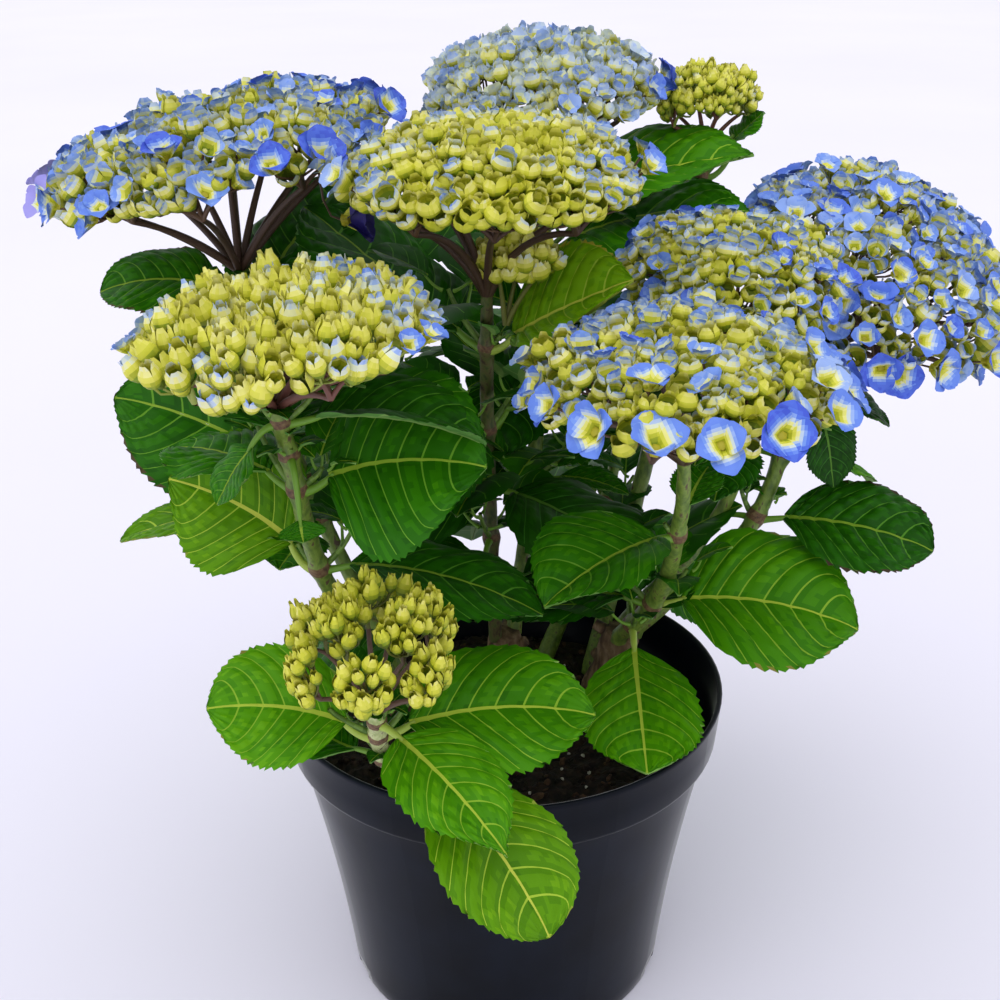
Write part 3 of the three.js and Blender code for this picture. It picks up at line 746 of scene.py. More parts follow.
def side_shoot(bags, root, azimuth, vigour, tone, rng):
    """A shoot from a leaf's corner: it rises and bears pairs of young leaves crosswise."""
    leaves, twigs = bags
    way = level_way(azimuth)
    length = vigour * rng.uniform(0.35, 0.6)
    end = root + way * length * 0.75 + UP * length * rng.uniform(0.5, 1.0)
    path = bezier(root + way * 2.5, mix(root, end, 0.5) + way * length * 0.2, end, 7)
    tube(twigs, path, np.linspace(1.5, 0.9, 7), rng.choice(3, 36), sides=6)
    turn = rng.uniform(-0.4, 0.4)
    for share, size in SHOOT_PAIRS:
        at = path[int(share * 6)]
        for half_turn in (0, math.pi):
            heading = azimuth + math.pi / 2 * (share < 1) + turn + half_turn
            span = vigour * size * rng.uniform(0.75, 1.15)
            if not room_for(at, heading, span) or span < LEAST_LEAF:
                continue
            young = YoungLeaf(at, heading, rng.uniform(0.35, 0.9), span, rng)
            look = Look(tone, light=rng.normal(0.1, 0.4), tooth=0.8, wave=0.6)
            joint, ahead = blade(leaves, young, SMALL, look, rng)
            stalk(leaves, young, joint, ahead, GREEN_STALK, radius=1.1)


def room_for(at, heading, span):
    """Side shoots keep clear of the crown's gaps, its outside, and the pot's mouth in front."""
    tip = at + (level_way(heading) + 0.2 * UP) * span
    low, high = box_mm(CAD_BOX)
    inside = (tip > low + 4).all() and (tip < high - 4).all() and at[2] < 340
    shows_in_front = tip[1] < -20 - 0.12 * tip[2]
    clear = not closes_gap((tip, mix(at, tip, 0.5)), 0)
    return inside and clear and not (shows_in_front and span > 22)


def closes_gap(spots, margin):
    return any(gap_to_line(spot, *ends) <= radius + margin for spot in spots for *ends, radius in CLEARINGS)


def gap_to_line(point, start, end):
    way = unit(np.subtract(end, start))
    away = point - start
    return np.linalg.norm(away - way * (away @ way))


def vigour_of(root, azimuth, rng):
    """A side shoot's size in mm: the largest are in the middle of the crown, the least at its front."""
    if math.sin(azimuth) < -0.35 and root[1] < 0:
        return rng.uniform(12, 22)
    if math.hypot(root[0], root[1] - 20) < 75 and 150 < root[2] < 335:
        return rng.uniform(40, 64)
    return rng.uniform(18, 48)


def inner_look(leaf, rng):
    """A leaf inside the crown: broad, but drawn back where it would close one of the crown's gaps."""
    spots = [mix(leaf.root, leaf.midrib[-1], share) for share in (0.4, 0.7, 1.0)]
    breadth, stretch = (0.72, 0.7) if closes_gap(spots, 14) else (1.18, 1.06)
    tone = INNER_TONES[int(rng.integers(len(INNER_TONES)))]
    return Look(tone, light=rng.normal(0, 0.3), breadth=breadth, stretch=stretch, quilt=1.3)


def is_at_back(limb):
    return "back" in limb or limb in ("stem_right", "stem_centre")


def grow_leaf(bag, leaf, look, rng):
    """A large leaf and its stalk."""
    joint, ahead = blade(bag, leaf, FULL, look, rng)
    stalk(bag, leaf, joint, ahead, PALE_STALK if look.tone in ("lime", "fresh") else GREEN_STALK)


def grow_leaves(lines):
    """All leaves with their stalks, and the side shoots in their corners. Returns each limb's leaf roots."""
    rng = np.random.default_rng(SEED)
    bags = {"leaves_front": Bag(), "leaves_back": Bag(), "young_leaves": Bag()}
    twigs = Bag()
    nodes = {name: [] for name in bags}
    roots = {}
    for node in sorted(n for n in NODES if "leaves_" in n):
        limb = node.rsplit("_", 1)[0].replace("shoot_leaves", "shoot").replace("leaves", "stem")
        root, found = leaves_of(node, lines[limb])
        roots.setdefault(limb, []).append(root)
        where = "leaves_back" if is_at_back(limb) else "leaves_front"
        nodes[where].append(node)
        for leaf in found:
            look = LOOKS.get(f"{node} {compass(leaf.azimuth)}") or inner_look(leaf, rng)
            grow_leaf(bags[where], leaf, look, rng)
            azimuth = math.radians(leaf.azimuth)
            vigour = vigour_of(root, azimuth, rng)
            tone = INNER_TONES[int(rng.integers(len(INNER_TONES)))]
            side_shoot((bags["young_leaves"], twigs), root + UP * 1.5, azimuth, vigour, tone, rng)
    materials = leaf_materials()
    for name, bag in bags.items():
        piece = bag.build(name, materials)
        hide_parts(*nodes[name])
    greens = [surface(f"side_shoot_{k}", code, 0.55) for k, code in enumerate(SHOOT_GREENS)]
    piece = twigs.build("side_shoots", greens)
    return roots


# ---- Stems and old wood ----
SUNK_FOOT = 2.5  # how far a limb goes on into what it stands in, in mm


def falling_radii(line, count):
    """A limb's radius along it without the swellings of its solid."""
    share = np.linspace(0, 1, len(line.radii))
    slope, start = np.polyfit(share, line.radii, 1)
    radii = np.minimum(line.radii, start + slope * share)
    return np.interp(np.linspace(0, 1, count), share, radii)


def limb_surface(bag, line, roots, seed, rough, sides=16, step=1.7):
    """A tapering limb with a ridge and swelling at each leaf pair, ribs and small corky spots."""
    length = length_of(line.path)
    count = max(12, int(length / step))
    path = smooth_path(line.path, count)
    path[0, 2] -= SUNK_FOOT
    radii = falling_radii(line, count) * (0.82 if line.name == "stem_centre" else 0.95)
    at = np.linspace(0, length, count)
    for root in roots:
        past = at - at[spans(path - root).argmin()]
        radii = radii + 1.1 * np.exp(-((past / 3.6) ** 2)) + 0.35 * np.exp(-(((past - 3) / 0.9) ** 2))
    ring = ring_ways(path, sides)
    turn = round_turns(sides)
    grain = np.empty((count, sides, 3))
    grain[..., 0], grain[..., 1], grain[..., 2] = 3 * np.cos(turn), 3 * np.sin(turn), at[:, None] / 9
    coarse, fine = (ripples(path[:, None] + ring * 6, size, seed + k) for k, size in ((1, 7), (2, 2.6)))
    relief = 0.1 * ripples(grain, 2.2, seed) + 0.08 * np.cos(turn * 6) + rough * (coarse + 0.5 * fine)
    points = path[:, None] + ring * (radii[:, None] + relief)[..., None]
    kinds = np.repeat(node_rows(path, roots), sides)
    bag.add_rings(points, kinds)
    tip = path[-1] + unit(path[-1] - path[-2]) * radii[-1] * 0.35
    bag.add(np.vstack([points[-1], tip]), fan(sides), 0)


def node_rows(path, roots):
    """0 for the rows of faces on the stem, 1 for those at its nodes."""
    rows = np.zeros(len(path) - 1, int)
    for root in roots:
        rows[spans(path[:-1] - root - UP * 0.5) < 1.9] = 1
    return rows


STUB_AT, STUB_RADII = np.array([[0], [0.35], [0.7], [1.0]]), np.array([1.35, 1.0, 0.95, 0.8])
STUB_PLACES = (0.35, 0.62, 0.88)  # up the old wood


def stub(bag, start, way, length, radius, rng):
    """A cut-back side shoot: short, rough and closed by a ragged end."""
    path = start + way * STUB_AT * length
    radii = radius * STUB_RADII * rng.uniform(0.9, 1.1, len(STUB_RADII))
    tube(bag, path, radii, 0, sides=9, capped=True)


def grow_limbs(lines, roots):
    """Each limb as a piece of its own: old wood with stubs, and stems with paler or darker skin."""
    green = mottled("stem_green", ("#4c6424", "#667f2e", "#7a9238", "#574030"), 2.4, 0.5, 0.35,
                    detail=6, stretch=(1, 1, 0.45), cuts=(0.3, 0.47, 0.58, 0.68))
    pale = mottled("stem_pale", ("#8fa15a", "#b3bd7c", "#c3ca92", "#5a4636"), 2.0, 0.5, 0.3,
                   detail=6, stretch=(1, 1, 0.5), cuts=(0.3, 0.48, 0.6, 0.69))
    dark = mottled("stem_dark", ("#3f4a24", "#54602c", "#5f5a34", "#3b2a22"), 2.4, 0.55, 0.4,
                   detail=6, stretch=(1, 1, 0.45))
    node = mottled("stem_node", ("#4a3526", "#6d4f35", "#7d6a44"), 1.5, 0.65, 0.4, detail=5)
    bark = mottled("old_bark", ("#33261b", "#57412c", "#7a6347", "#978066"), 5, 0.85, 0.8,
                   detail=9, stretch=(1, 1, 0.35))
    for k, line in enumerate(lines.values()):
        bag = Bag()
        old = line.name.startswith("old_wood")
        limb_surface(bag, line, roots.get(line.name, []), SEED + 10 * k, 0.5 if old else 0.06,
                     sides=28 if old else 16, step=1.2 if old else 1.7)
        if old:
            add_stubs(bag, line, np.random.default_rng(SEED + k))
        colour = pale if line.name == "stem_low_front" else dark if "centre" in line.name else green
        name = line.name.replace("stem_", "bough_") + "_bark"
        piece = bag.build(name, [bark, bark] if old else [colour, node])
        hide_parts(line.name)


def add_stubs(bag, line, rng):
    """The stubs of cut shoots on the old wood."""
    for share in STUB_PLACES:
        at = line.path[int(share * (PATH_POINTS - 1))]
        angle = rng.uniform(0, 2 * math.pi)
        way = unit(np.array([math.cos(angle), math.sin(angle), rng.uniform(0.3, 0.9)]))
        stub(bag, at + way * 3, way, rng.uniform(9, 13), rng.uniform(2.2, 3.4), rng)


# ---- Flower heads ----
# From a green bud to a deep blue flower. The darkest olive greens also serve as painted shade deep down in
# the flowers.
BLOOM = ("#5f7210", "#829816", "#aab020", "#c9ca30", "#dcd956", "#e9e58c", "#dbe2c6", "#bccde2", "#95b0e6",
         "#7094e2", "#4f73da", "#3b56cb", "#2a3ca4")
BLOOM_EXTRA = {"lavender": "#9d97e0", "violet": "#2c2478", "eye_yellow": "#a8a01c", "eye_cream": "#dcd984",
               "eye_blue": "#7f9de0"}
BLOOM_STEPS = 2 * len(BLOOM) - 1  # those colours and one between each two
BLOOM_KINDS = {name: BLOOM_STEPS + k for k, name in enumerate(BLOOM_EXTRA)}
TWIG_COLOURS = {"purple": "#4a3426", "brown": "#5f4533", "olive": "#6d7030", "green": "#9aa646",
                "red": "#6e4438"}
TWIG_KINDS = {name: k for k, name in enumerate(TWIG_COLOURS)}


RIM_STEP = 5  # degrees between two measures of a head's rim


class Dome:
    """The shape of a flower head, from its solid."""

    def __init__(self, node, reach=1.0):
        points, faces = solid_of(node)
        corners = points[faces]
        areas = np.cross(corners[:, 1] - corners[:, 0], corners[:, 2] - corners[:, 0]) / 2
        sizes = spans(areas)
        axis = UP
        for _ in range(5):
            top = areas @ axis > 0.35 * sizes
            axis = unit(areas[top].sum(0))
        middles = corners.mean(1)
        self.axis = axis
        self.centre = (middles[top] * sizes[top, None]).sum(0) / sizes[top].sum()
        self.east = unit(np.cross([0.0, 1.0, 0.0], axis))
        self.north = np.cross(axis, self.east)
        self.tree = BVHTree.FromPolygons(points.tolist(), faces.tolist())
        self.reach = self.read_reach(points[np.unique(faces[top])]) * reach
        self.radius = self.reach.mean()

    def read_reach(self, points):
        """The rim's distance from the axis every RIM_STEP degrees, smoothed."""
        away = points - self.centre
        x, y = away @ self.east, away @ self.north
        angle, gap = np.degrees(np.arctan2(y, x)) % 360, np.hypot(x, y)
        best = []
        for start in range(0, 360, 36):
            inside = np.abs((angle - start - 18 + 180) % 360 - 180) < 22
            k = np.where(inside)[0][gap[inside].argmax()]
            best.append((angle[k], gap[k]))
        at, far = np.array(sorted(set(best))).T
        at, far = np.concatenate([at - 360, at, at + 360]), np.tile(far, 3)
        return np.interp(np.arange(0, 360, RIM_STEP), at, far)

    def place(self, q, theta):
        """The point on the dome at a share of the way out and an angle, and the way it faces."""
        at = np.arange(0, 360 + RIM_STEP, RIM_STEP)
        reach = np.interp(np.degrees(theta) % 360, at, [*self.reach, self.reach[0]])
        way = math.cos(theta) * self.east + math.sin(theta) * self.north
        drop = max(0.0, q - 1)
        out = min(q, 1) * reach * (1 - 0.35 * drop)
        point = None
        for inner in (1, 0.97, 0.93, 0.88, 0.8, 0.6):
            start = self.centre + way * out * inner + self.axis * 150
            hit = self.tree.ray_cast(Vector(start), Vector(-self.axis))[0]
            if hit is not None:
                point = np.array(hit) + way * out * (1 - inner)
                break
        if point is None:
            point = self.centre + way * out
        lean = math.radians(62) * min(q, 1) ** 1.7 + math.radians(150) * drop
        facing = unit(self.axis * math.cos(lean) + way * math.sin(lean))
        return point - self.axis * drop * 50, facing


@dataclass
class Habit:
    """How a flower head has opened, and how it is crowded. Lengths are in mm."""

    age: float  # from 0 in bud to 1 in full blue
    rim: float = 0.35  # how much older its rim is
    patch: float = 0.16  # how much its age differs from place to place
    mixed: float = 0.15  # and from flower to flower
    sided: float = 0.5  # how far its front rim is held back
    tint: float = 0.0  # steps bluer all over
    deepest: float = 9.6  # the bluest step of its plain flowers
    bud: float = 5.0  # width of a closed flower
    flower: float = 13.0  # and of an open one
    tall: float = 1.1  # a closed flower's height for its width
    mouth: float = 0.72  # how wide it is open at the top
    room: float = 0.4  # space kept between flowers, for their widths
    uneven: float = 1.0  # how far they stand above and below each other
    over: float = 0.14  # how far past the rim they go on
    lower: float = 0.0  # how far the middle is sunk
    reach: float = 0.98  # of the solid's rim
    hubs: int = 9  # branches from the fork
    gap: float = 0.0  # clear space between two branches' flowers
    bump: float = 3.0  # how far each branch's flowers swell up
    spread: float = 0.5  # how far they turn away from their branch
    droop: float = 16.0  # how far below the flowers a branch parts
    rise: float = 0.22  # how steeply it leaves the fork
    twigs: tuple = ("purple", "brown")
    showy: tuple = ()


# showy: (heading in degrees from the right round by the back, share of the way out, width in mm, colour).
HABITS = {
    "flower_head_left_tall": Habit(0.48, rim=0.4, bud=8.0, flower=16.5, hubs=11, deepest=9.1,
        uneven=1.8, reach=0.96, lower=1, mixed=0.2, tint=-0.5, showy=((-62, 1.0, 20, "deep"),
        (-46, 1.05, 21, "deep"), (-95, 0.75, 17, "deep"), (-30, 1.0, 26, "violet"),
        (178, 1.0, 18, "lavender"), (196, 1.04, 18, "lavender"), (20, 0.9, 17, "deep"),
        (215, 1.04, 18, "blue"), (8, 0.98, 18, "deep"), (160, 0.98, 17, "blue"), (-5, 0.97, 18, "deep"))),
    # The back head is tinted on towards cream and stops at pale blue: partly its own pale colour, partly
    # painted light where the room's light washes over the back of the plant.
    "flower_head_back": Habit(0.3, rim=0.3, patch=0.12, bud=7.4, flower=13.5, deepest=7.0,
        tint=1.2, uneven=1.4, showy=((-20, 0.95, 16, "deep"), (10, 1.0, 16, "deep"),
        (-4, 1.02, 17, "deep"), (-35, 0.97, 15, "blue"))),
    "flower_head_centre": Habit(0.1, rim=0.45, patch=0.06, bud=8.4, flower=14, hubs=10, tall=0.95,
        sided=1.0, mixed=0.1, deepest=8.8, rise=0.8, tint=-0.6, showy=((-12, 0.97, 15, "blue"),
        (12, 0.98, 15, "blue"), (196, 0.97, 16, "pale"), (183, 1.0, 16, "pale"), (206, 1.0, 16, "pale"),
        (0, 0.97, 15, "blue"))),
    "flower_head_left_front": Habit(0.08, rim=0.1, patch=0.06, bud=7.8, flower=12, hubs=12, gap=1.3,
        tall=1.4, twigs=("red", "green"), bump=5.0, room=0.41, spread=0.7, reach=0.95, mixed=0.12,
        tint=-0.25, uneven=2.4, mouth=0.62, over=0.05, showy=((-8, 0.98, 12, "pale"),
        (-20, 1.0, 13, "blue"), (176, 0.98, 13, "pale"), (164, 0.95, 12, "pale"), (188, 1.0, 12, "pale"),
        (-35, 1.0, 12, "blue"))),
    "flower_head_low_front": Habit(0.0, rim=0.0, patch=0.03, bud=5.7, flower=8, gap=5.3, tall=1.6,
        bump=7.0, twigs=("brown", "olive"), room=0.42, spread=0.75, reach=0.95, mixed=0.03, tint=-0.7,
        uneven=2.0, mouth=0.5),
    "flower_head_right_front": Habit(0.29, rim=0.34, patch=0.12, bud=8.6, flower=15, hubs=11, tall=0.95,
        sided=0.8, uneven=1.2, mixed=0.18, tint=-0.6, showy=((-128, 1.03, 21, "blue"),
        (-105, 1.05, 22, "blue"), (-84, 1.05, 22, "blue"), (-63, 1.03, 22, "deep"),
        (-40, 1.0, 19, "blue"), (-8, 1.0, 19, "deep"), (8, 0.95, 18, "blue"), (170, 0.93, 15, "pale"),
        (-112, 0.72, 18, "blue"), (-150, 1.0, 18, "blue"), (-22, 0.98, 18, "blue"),
        (-32, 0.86, 17, "pale"), (-14, 0.82, 17, "pale"), (4, 0.8, 16, "blue"), (-52, 0.86, 17, "pale"),
        (22, 0.98, 17, "blue"))),
    "flower_head_right": Habit(0.31, rim=0.3, patch=0.12, bud=8.2, flower=14, hubs=8, tall=0.95,
        mixed=0.17, tint=-0.6, uneven=1.2, showy=((-15, 0.95, 17, "deep"), (110, 0.95, 16, "deep"),
        (80, 0.95, 16, "deep"))),
    "flower_head_far_right": Habit(0.58, rim=0.36, patch=0.14, bud=8.2, flower=16, hubs=12, deepest=9.0,
        uneven=1.8, mixed=0.2, tint=-0.3, room=0.37, showy=((-70, 1.05, 21, "blue"),
        (-45, 1.05, 21, "deep"), (-22, 1.05, 20, "blue"), (0, 1.0, 19, "blue"), (-92, 1.03, 20, "deep"),
        (60, 1.0, 18, "deep"), (-80, 0.85, 19, "blue"), (-84, 1.12, 20, "deep"))),
    "flower_head_back_right": Habit(0.04, rim=0.0, patch=0.04, flower=8, hubs=6, gap=2.0,
        tall=1.3, twigs=("red", "green"), bump=3.5, spread=0.7, reach=0.97, mixed=0.05, tint=-0.3,
        uneven=1.2, mouth=0.5),
    "bud_cluster_centre": Habit(0.04, rim=0.1, patch=0.05, bud=7.0, flower=9, hubs=3, gap=0.6, tall=1.2,
        twigs=("olive", "green"), bump=2.0, droop=11, spread=0.7, mixed=0.02, tint=-0.1, mouth=0.6),
}
# Of a showy flower: its age, how deep a blue it may reach, its own tint, and how far it hangs below the rest.
SHOWY = {"blue": (0.6, 9.5, None, 0), "deep": (0.8, 10.7, None, 0), "pale": (0.45, 8.0, None, 0),
         "lavender": (0.8, 10, "lavender", 0), "violet": (1.0, 12, "violet", 33)}


def age_at(habit, point, q, side, rng, seed):
    """How far the flower there has opened."""
    patchy = habit.patch * ripples(point[None], 30, seed)[0]
    return float(np.clip(habit.age + habit.rim * side * q**3 + patchy + rng.normal(0, habit.mixed), 0, 1))


@dataclass(eq=False)
class Place:
    """Where one flower sits, which way it faces, and how far it has opened."""

    point: np.ndarray
    facing: np.ndarray
    age: float
    size: float
    opened: float
    deepest: float
    tint: str = None
    base: np.ndarray = None  # its foot


def showy_places(dome, habit):
    places = []
    for heading, q, size, colour in habit.showy:
        point, facing = dome.place(q, math.radians(heading))
        age, deepest, tint, fall = SHOWY[colour]
        outward = unit(facing * [1, 1, 0])
        facing = unit(outward + UP * 0.2) if fall else facing
        places.append(Place(point - UP * fall - outward * fall * 0.1, facing, age, size, 1.0, deepest, tint))
    return places


FILLING_AGE, FILLING_ROOM = 0.4, 0.72  # how young and how close together the buds in the gaps are
SUNK_FLOWER, SUNK_BUD = 3, 6  # how far they sit under the dome, in mm


def choose_places(dome, habit, rng, seed):
    """Places over the dome: the showy flowers first, then the rest, then buds sunk in what gaps are left."""
    chosen = showy_places(dome, habit)
    tries = int(1.5 * dome.radius**2)
    points, sizes = np.empty((2 * tries + len(chosen), 3)), np.empty(2 * tries + len(chosen))
    for k, place in enumerate(chosen):
        points[k], sizes[k] = place.point, place.size
    for k in range(2 * tries):
        filling = k >= tries
        q, theta = math.sqrt(rng.random()) * (1 + habit.over), rng.uniform(0, 2 * math.pi)
        point, facing = dome.place(q, theta)
        side = mix(1, abs(math.cos(theta)) ** 1.5 if theta > math.pi else 1, habit.sided)
        age = age_at(habit, point, min(q, 1), side, rng, seed) * (FILLING_AGE if filling else 1)
        opened = smooth(0.15, 0.7, age)
        size = mix(habit.bud, habit.flower, opened) * rng.uniform(0.8, 1.15)
        room = habit.room * (FILLING_ROOM if filling else 1)
        n = len(chosen)
        gaps = spans(points[:n] - point) - room * (size + sizes[:n])
        if n == 0 or gaps.min() > 0:
            points[n], sizes[n] = point, size
            point = point - facing * ((SUNK_BUD if filling else SUNK_FLOWER) + rng.normal(0, habit.uneven))
            point = point - UP * habit.lower * (1 - q**2)
            deepest = habit.deepest + rng.uniform(-0.8, 1.2)
            chosen.append(Place(point, facing, age, size, opened, deepest))
    return chosen


def share_out(places, habit, rng):
    """The middles of a head's branches, and each flower's branch. Flowers in the gaps are left out."""
    points = np.array([p.point for p in places])
    middles = [int(rng.integers(len(points)))]
    while len(middles) < habit.hubs:
        middles.append(int(gaps_between(points, points[middles]).min(1).argmax()))
    hubs = points[middles]
    for _ in range(6):
        nearest = gaps_between(points, hubs).argmin(1)
        hubs = np.array([points[nearest == k].mean(0) for k in range(len(hubs))])
    gaps = np.sort(gaps_between(points, hubs), axis=1)
    keep = np.array([p.tint is not None or p.size > 14 for p in places])
    keep |= gaps[:, 1] - gaps[:, 0] > habit.gap * rng.uniform(0.3, 1.6, len(points))
    spread = max(gaps[:, 0].max(), 1)
    for place, gap in zip(places, gaps[:, 0]):
        place.point = place.point + place.facing * habit.bump * (0.45 - (gap / spread) ** 2)
    return hubs, nearest, keep


# Along a sepal, from its foot to its tip: its width, how far round a shut flower it wraps, and that flower's
# outline.
SEPAL_WIDTHS = (0.3, 0.64, 0.88, 1.0, 0.99, 0.78, 0.14)
LOBES = (1, 1, 1, 1, 0.98, 0.86, 0.5)
GOBLET_OUT = (0.2, 0.62, 0.88, 1.0, 1.0, 0.9, 1.0)
GOBLET_UP = (0, 0.13, 0.3, 0.48, 0.66, 0.83, 1.0)
PLAIN_SEPAL, FINE_SEPAL = (6, 4), (10, 6)  # rows and columns of faces
FINE_FROM = 15.5  # flowers wider than this, in mm, have the finer sepals


def along_sepal(values, u):
    return np.interp(u, np.linspace(0, 1, len(values)), values)


def sepal_lines(opened, size, habit, u, rng):
    """Each sepal's middle line as distance out and up: a goblet when shut, a saucer when open."""
    share = opened[..., None]
    slope = np.radians(72 - 62 * u - 14 * u**2 + rng.normal(0, 9, share.shape))
    step = (size * 0.6 / (len(u) - 1))[..., None]
    nothing = np.zeros(share.shape)
    out = np.concatenate([nothing, np.cumsum(np.cos(slope[..., :-1]) * step, axis=-1)], -1) + 0.4
    rise = np.concatenate([nothing, np.cumsum(np.sin(slope[..., :-1]) * step, axis=-1)], -1)
    mouth = mix(1, habit.mouth, smooth(0.5, 1, u))
    shut_out = along_sepal(GOBLET_OUT, u) * mouth * size[..., None] / 2
    shut_rise = along_sepal(GOBLET_UP, u) * size[..., None] * habit.tall
    return mix(shut_out, out, share), mix(shut_rise, rise, share)


def flower_shapes(places, sepals, habit, grid, rng):
    """Each sepal's points about its flower's own axis, and the height of each flower's middle."""
    n, (rows, columns) = len(places), grid
    u, v = np.linspace(0, 1, rows + 1), np.linspace(-1, 1, columns + 1)
    opened = np.clip(np.array([p.opened for p in places])[:, None] + rng.normal(0, 0.07, (n, sepals)), 0, 1)
    size = np.array([p.size for p in places])[:, None] * rng.uniform(0.9, 1.1, (n, sepals))
    out, rise = sepal_lines(opened, size, habit, u, rng)
    half = (size * 0.265)[..., None, None] * along_sepal(SEPAL_WIDTHS, u)[:, None] * np.ones(columns + 1)
    wrap = math.pi / sepals * 1.12 * along_sepal(LOBES, u)[:, None]
    share = opened[..., None, None]
    x = mix(out[..., None] * np.cos(v * wrap), out[..., None] - 0.05 * half * v**2, share)
    y = mix(out[..., None] * np.sin(v * wrap), half * v, share)
    over = 0.35 * (np.arange(sepals) % 2)[:, None, None]
    z = rise[..., None] + share * (0.24 * half * v**2 + over + 0.25 * np.sin(v * 4 + rise[..., None]))
    turn = 2 * math.pi * np.arange(sepals) / sepals + rng.uniform(0, 6, (n, 1))
    turn = (turn + rng.normal(0, 0.08, (n, sepals)))[..., None, None]
    flat = np.stack([x * np.cos(turn) - y * np.sin(turn), x * np.sin(turn) + y * np.cos(turn), z], -1)
    return flat, rise.max(-1).mean(-1) * 0.5


def add_flowers(bag, places, sepals, habit, grid, rng):
    """The sepals of flowers that have the same number of them."""
    if not places:
        return
    n, (rows, columns) = len(places), grid
    flat, middle = flower_shapes(places, sepals, habit, grid, rng)
    facing = unit(np.array([p.facing for p in places]))
    side = unit(np.cross(facing, np.where(np.abs(facing[:, 2:]) < 0.9, UP, [1.0, 0, 0])))
    axes = np.stack([side, np.cross(facing, side), facing], 1)
    base = np.array([p.point for p in places]) - facing * middle[:, None]
    points = np.einsum("nsuvk,nkj->nsuvj", flat, axes) + base[:, None, None, None]
    each = (rows + 1) * (columns + 1)
    faces = grid_faces(rows + 1, columns + 1)[None] + each * np.arange(n * sepals)[:, None, None]
    kinds = flower_kinds(places, n, sepals, habit.tint, grid, rng)
    bag.add(points, faces.reshape(-1, 4), kinds.ravel())
    for place, start in zip(places, base):
        place.base = start


def flower_kinds(places, n, sepals, tint, grid, rng):
    """The bloom colour of each face: greenish and darker at the heart, the flower's own green with painted
    shade down in it, bluer to the tips and edges and with age.
    """
    rows, columns = grid
    age, opened, deepest = np.array([(p.age, p.opened, p.deepest) for p in places]).T[..., None, None, None]
    u = ((np.arange(rows) + 0.5) / rows)[None, None, :, None]
    v = (np.arange(columns) + 0.5) / columns * 2 - 1
    edge = u + 0.2 * opened * v**2 + 0.03 * rng.normal(0, 1, (n, sepals, 1, columns))
    blue = smooth(0.5 - 0.5 * age, 1.24 - 0.32 * age, edge) * (1.4 + 2.6 * smooth(0.05, 0.25, age) + 5 * age)
    # Low steps at the foot of each sepal: the flower's green heart, darkened further as painted shade down in
    # the flower.
    level = mix(0.3, 2.2, opened) + mix(3.3, 2.6, opened) * smooth(0.05, 0.7, u) + tint + blue
    level = level + rng.normal(0, 0.3, (n, 1, 1, 1)) + rng.normal(0, 0.2, (n, sepals, 1, 1))
    grain = 0.12 if grid == FINE_SEPAL else 0.22
    level = np.minimum(level, deepest) + rng.normal(0, 1, (n, sepals, rows, columns)) * grain
    kinds = np.clip(np.round(2 * level), 0, BLOOM_STEPS - 1).astype(int)
    for k, place in enumerate(places):
        if place.tint:
            kinds[k, :, rows // (5 if place.tint == "violet" else 2) :] = BLOOM_KINDS[place.tint]
    return kinds


EYE_SIDES, EYE_SHOWS = 6, 0.35  # faces round a flower's heart, and how far open the flower is that shows it


def add_eyes(bag, places, rng):
    """The small round heart of each flower that is open enough to show it."""
    turn = round_turns(EYE_SIDES)[:, None]
    for place in places:
        if place.opened < EYE_SHOWS:
            continue
        side = unit(np.cross(place.facing, [0.3, 0.9, 0.1]))
        other = np.cross(place.facing, side)
        radius = 1.5 * place.size / 15
        loop = (np.cos(turn) * side + np.sin(turn) * other) * radius
        foot = place.base + place.facing * 0.2
        rings = np.stack([foot + loop, foot + loop * 0.85 + place.facing * 1.1 * radius])
        colour = "eye_yellow" if rng.random() < 0.7 else "eye_cream" if rng.random() < 0.6 else "eye_blue"
        bag.add_rings(rings, BLOOM_KINDS[colour])
        peak = foot + place.facing * 1.5 * radius
        bag.add(np.vstack([rings[1], peak]), fan(EYE_SIDES), BLOOM_KINDS[colour])


FIVE_SEPALS = 0.18  # the share of open flowers that have five


def grow_head(node, fork, flowers, twigs, seed):
    """One flower head: its flowers, and the branches that carry them from the stem's fork."""
    habit, rng = HABITS[node], np.random.default_rng(seed)
    dome = Dome(node, habit.reach)
    places = choose_places(dome, habit, rng, seed)
    hubs, nearest, keep = share_out(places, habit, rng)
    places = [p for p, kept in zip(places, keep) if kept]
    nearest = nearest[keep]
    for place, hub in zip(places, nearest):
        spread = unit(place.point - (hubs[hub] - dome.axis * 26))
        lift = UP * 0.35 * (1 - place.opened)
        place.facing = unit(mix(place.facing, spread, habit.spread) + lift + rng.normal(0, 0.17, 3))
    fives = [p for p in places if p.opened > 0.5 and rng.random() < FIVE_SEPALS]
    for sepals, group in ((4, [p for p in places if p not in fives]), (5, fives)):
        add_flowers(flowers, [p for p in group if p.size <= FINE_FROM], sepals, habit, PLAIN_SEPAL, rng)
        add_flowers(flowers, [p for p in group if p.size > FINE_FROM], sepals, habit, FINE_SEPAL, rng)
    add_eyes(flowers, places, rng)
    branch(twigs, places, nearest, hubs, dome, habit, fork, rng)


def parted(points, count, rng):
    """Which of count near groups each point falls in, and the groups' middles."""
    middles = points[rng.choice(len(points), count, replace=False)]
    for _ in range(4):
        part = gaps_between(points, middles).argmin(1)
        for g in set(part):
            middles[g] = points[part == g].mean(0)
    return part, middles


FLOWER_STALK = (0.65, 0.55, 0.5, 0.65)  # its radii from branch to flower


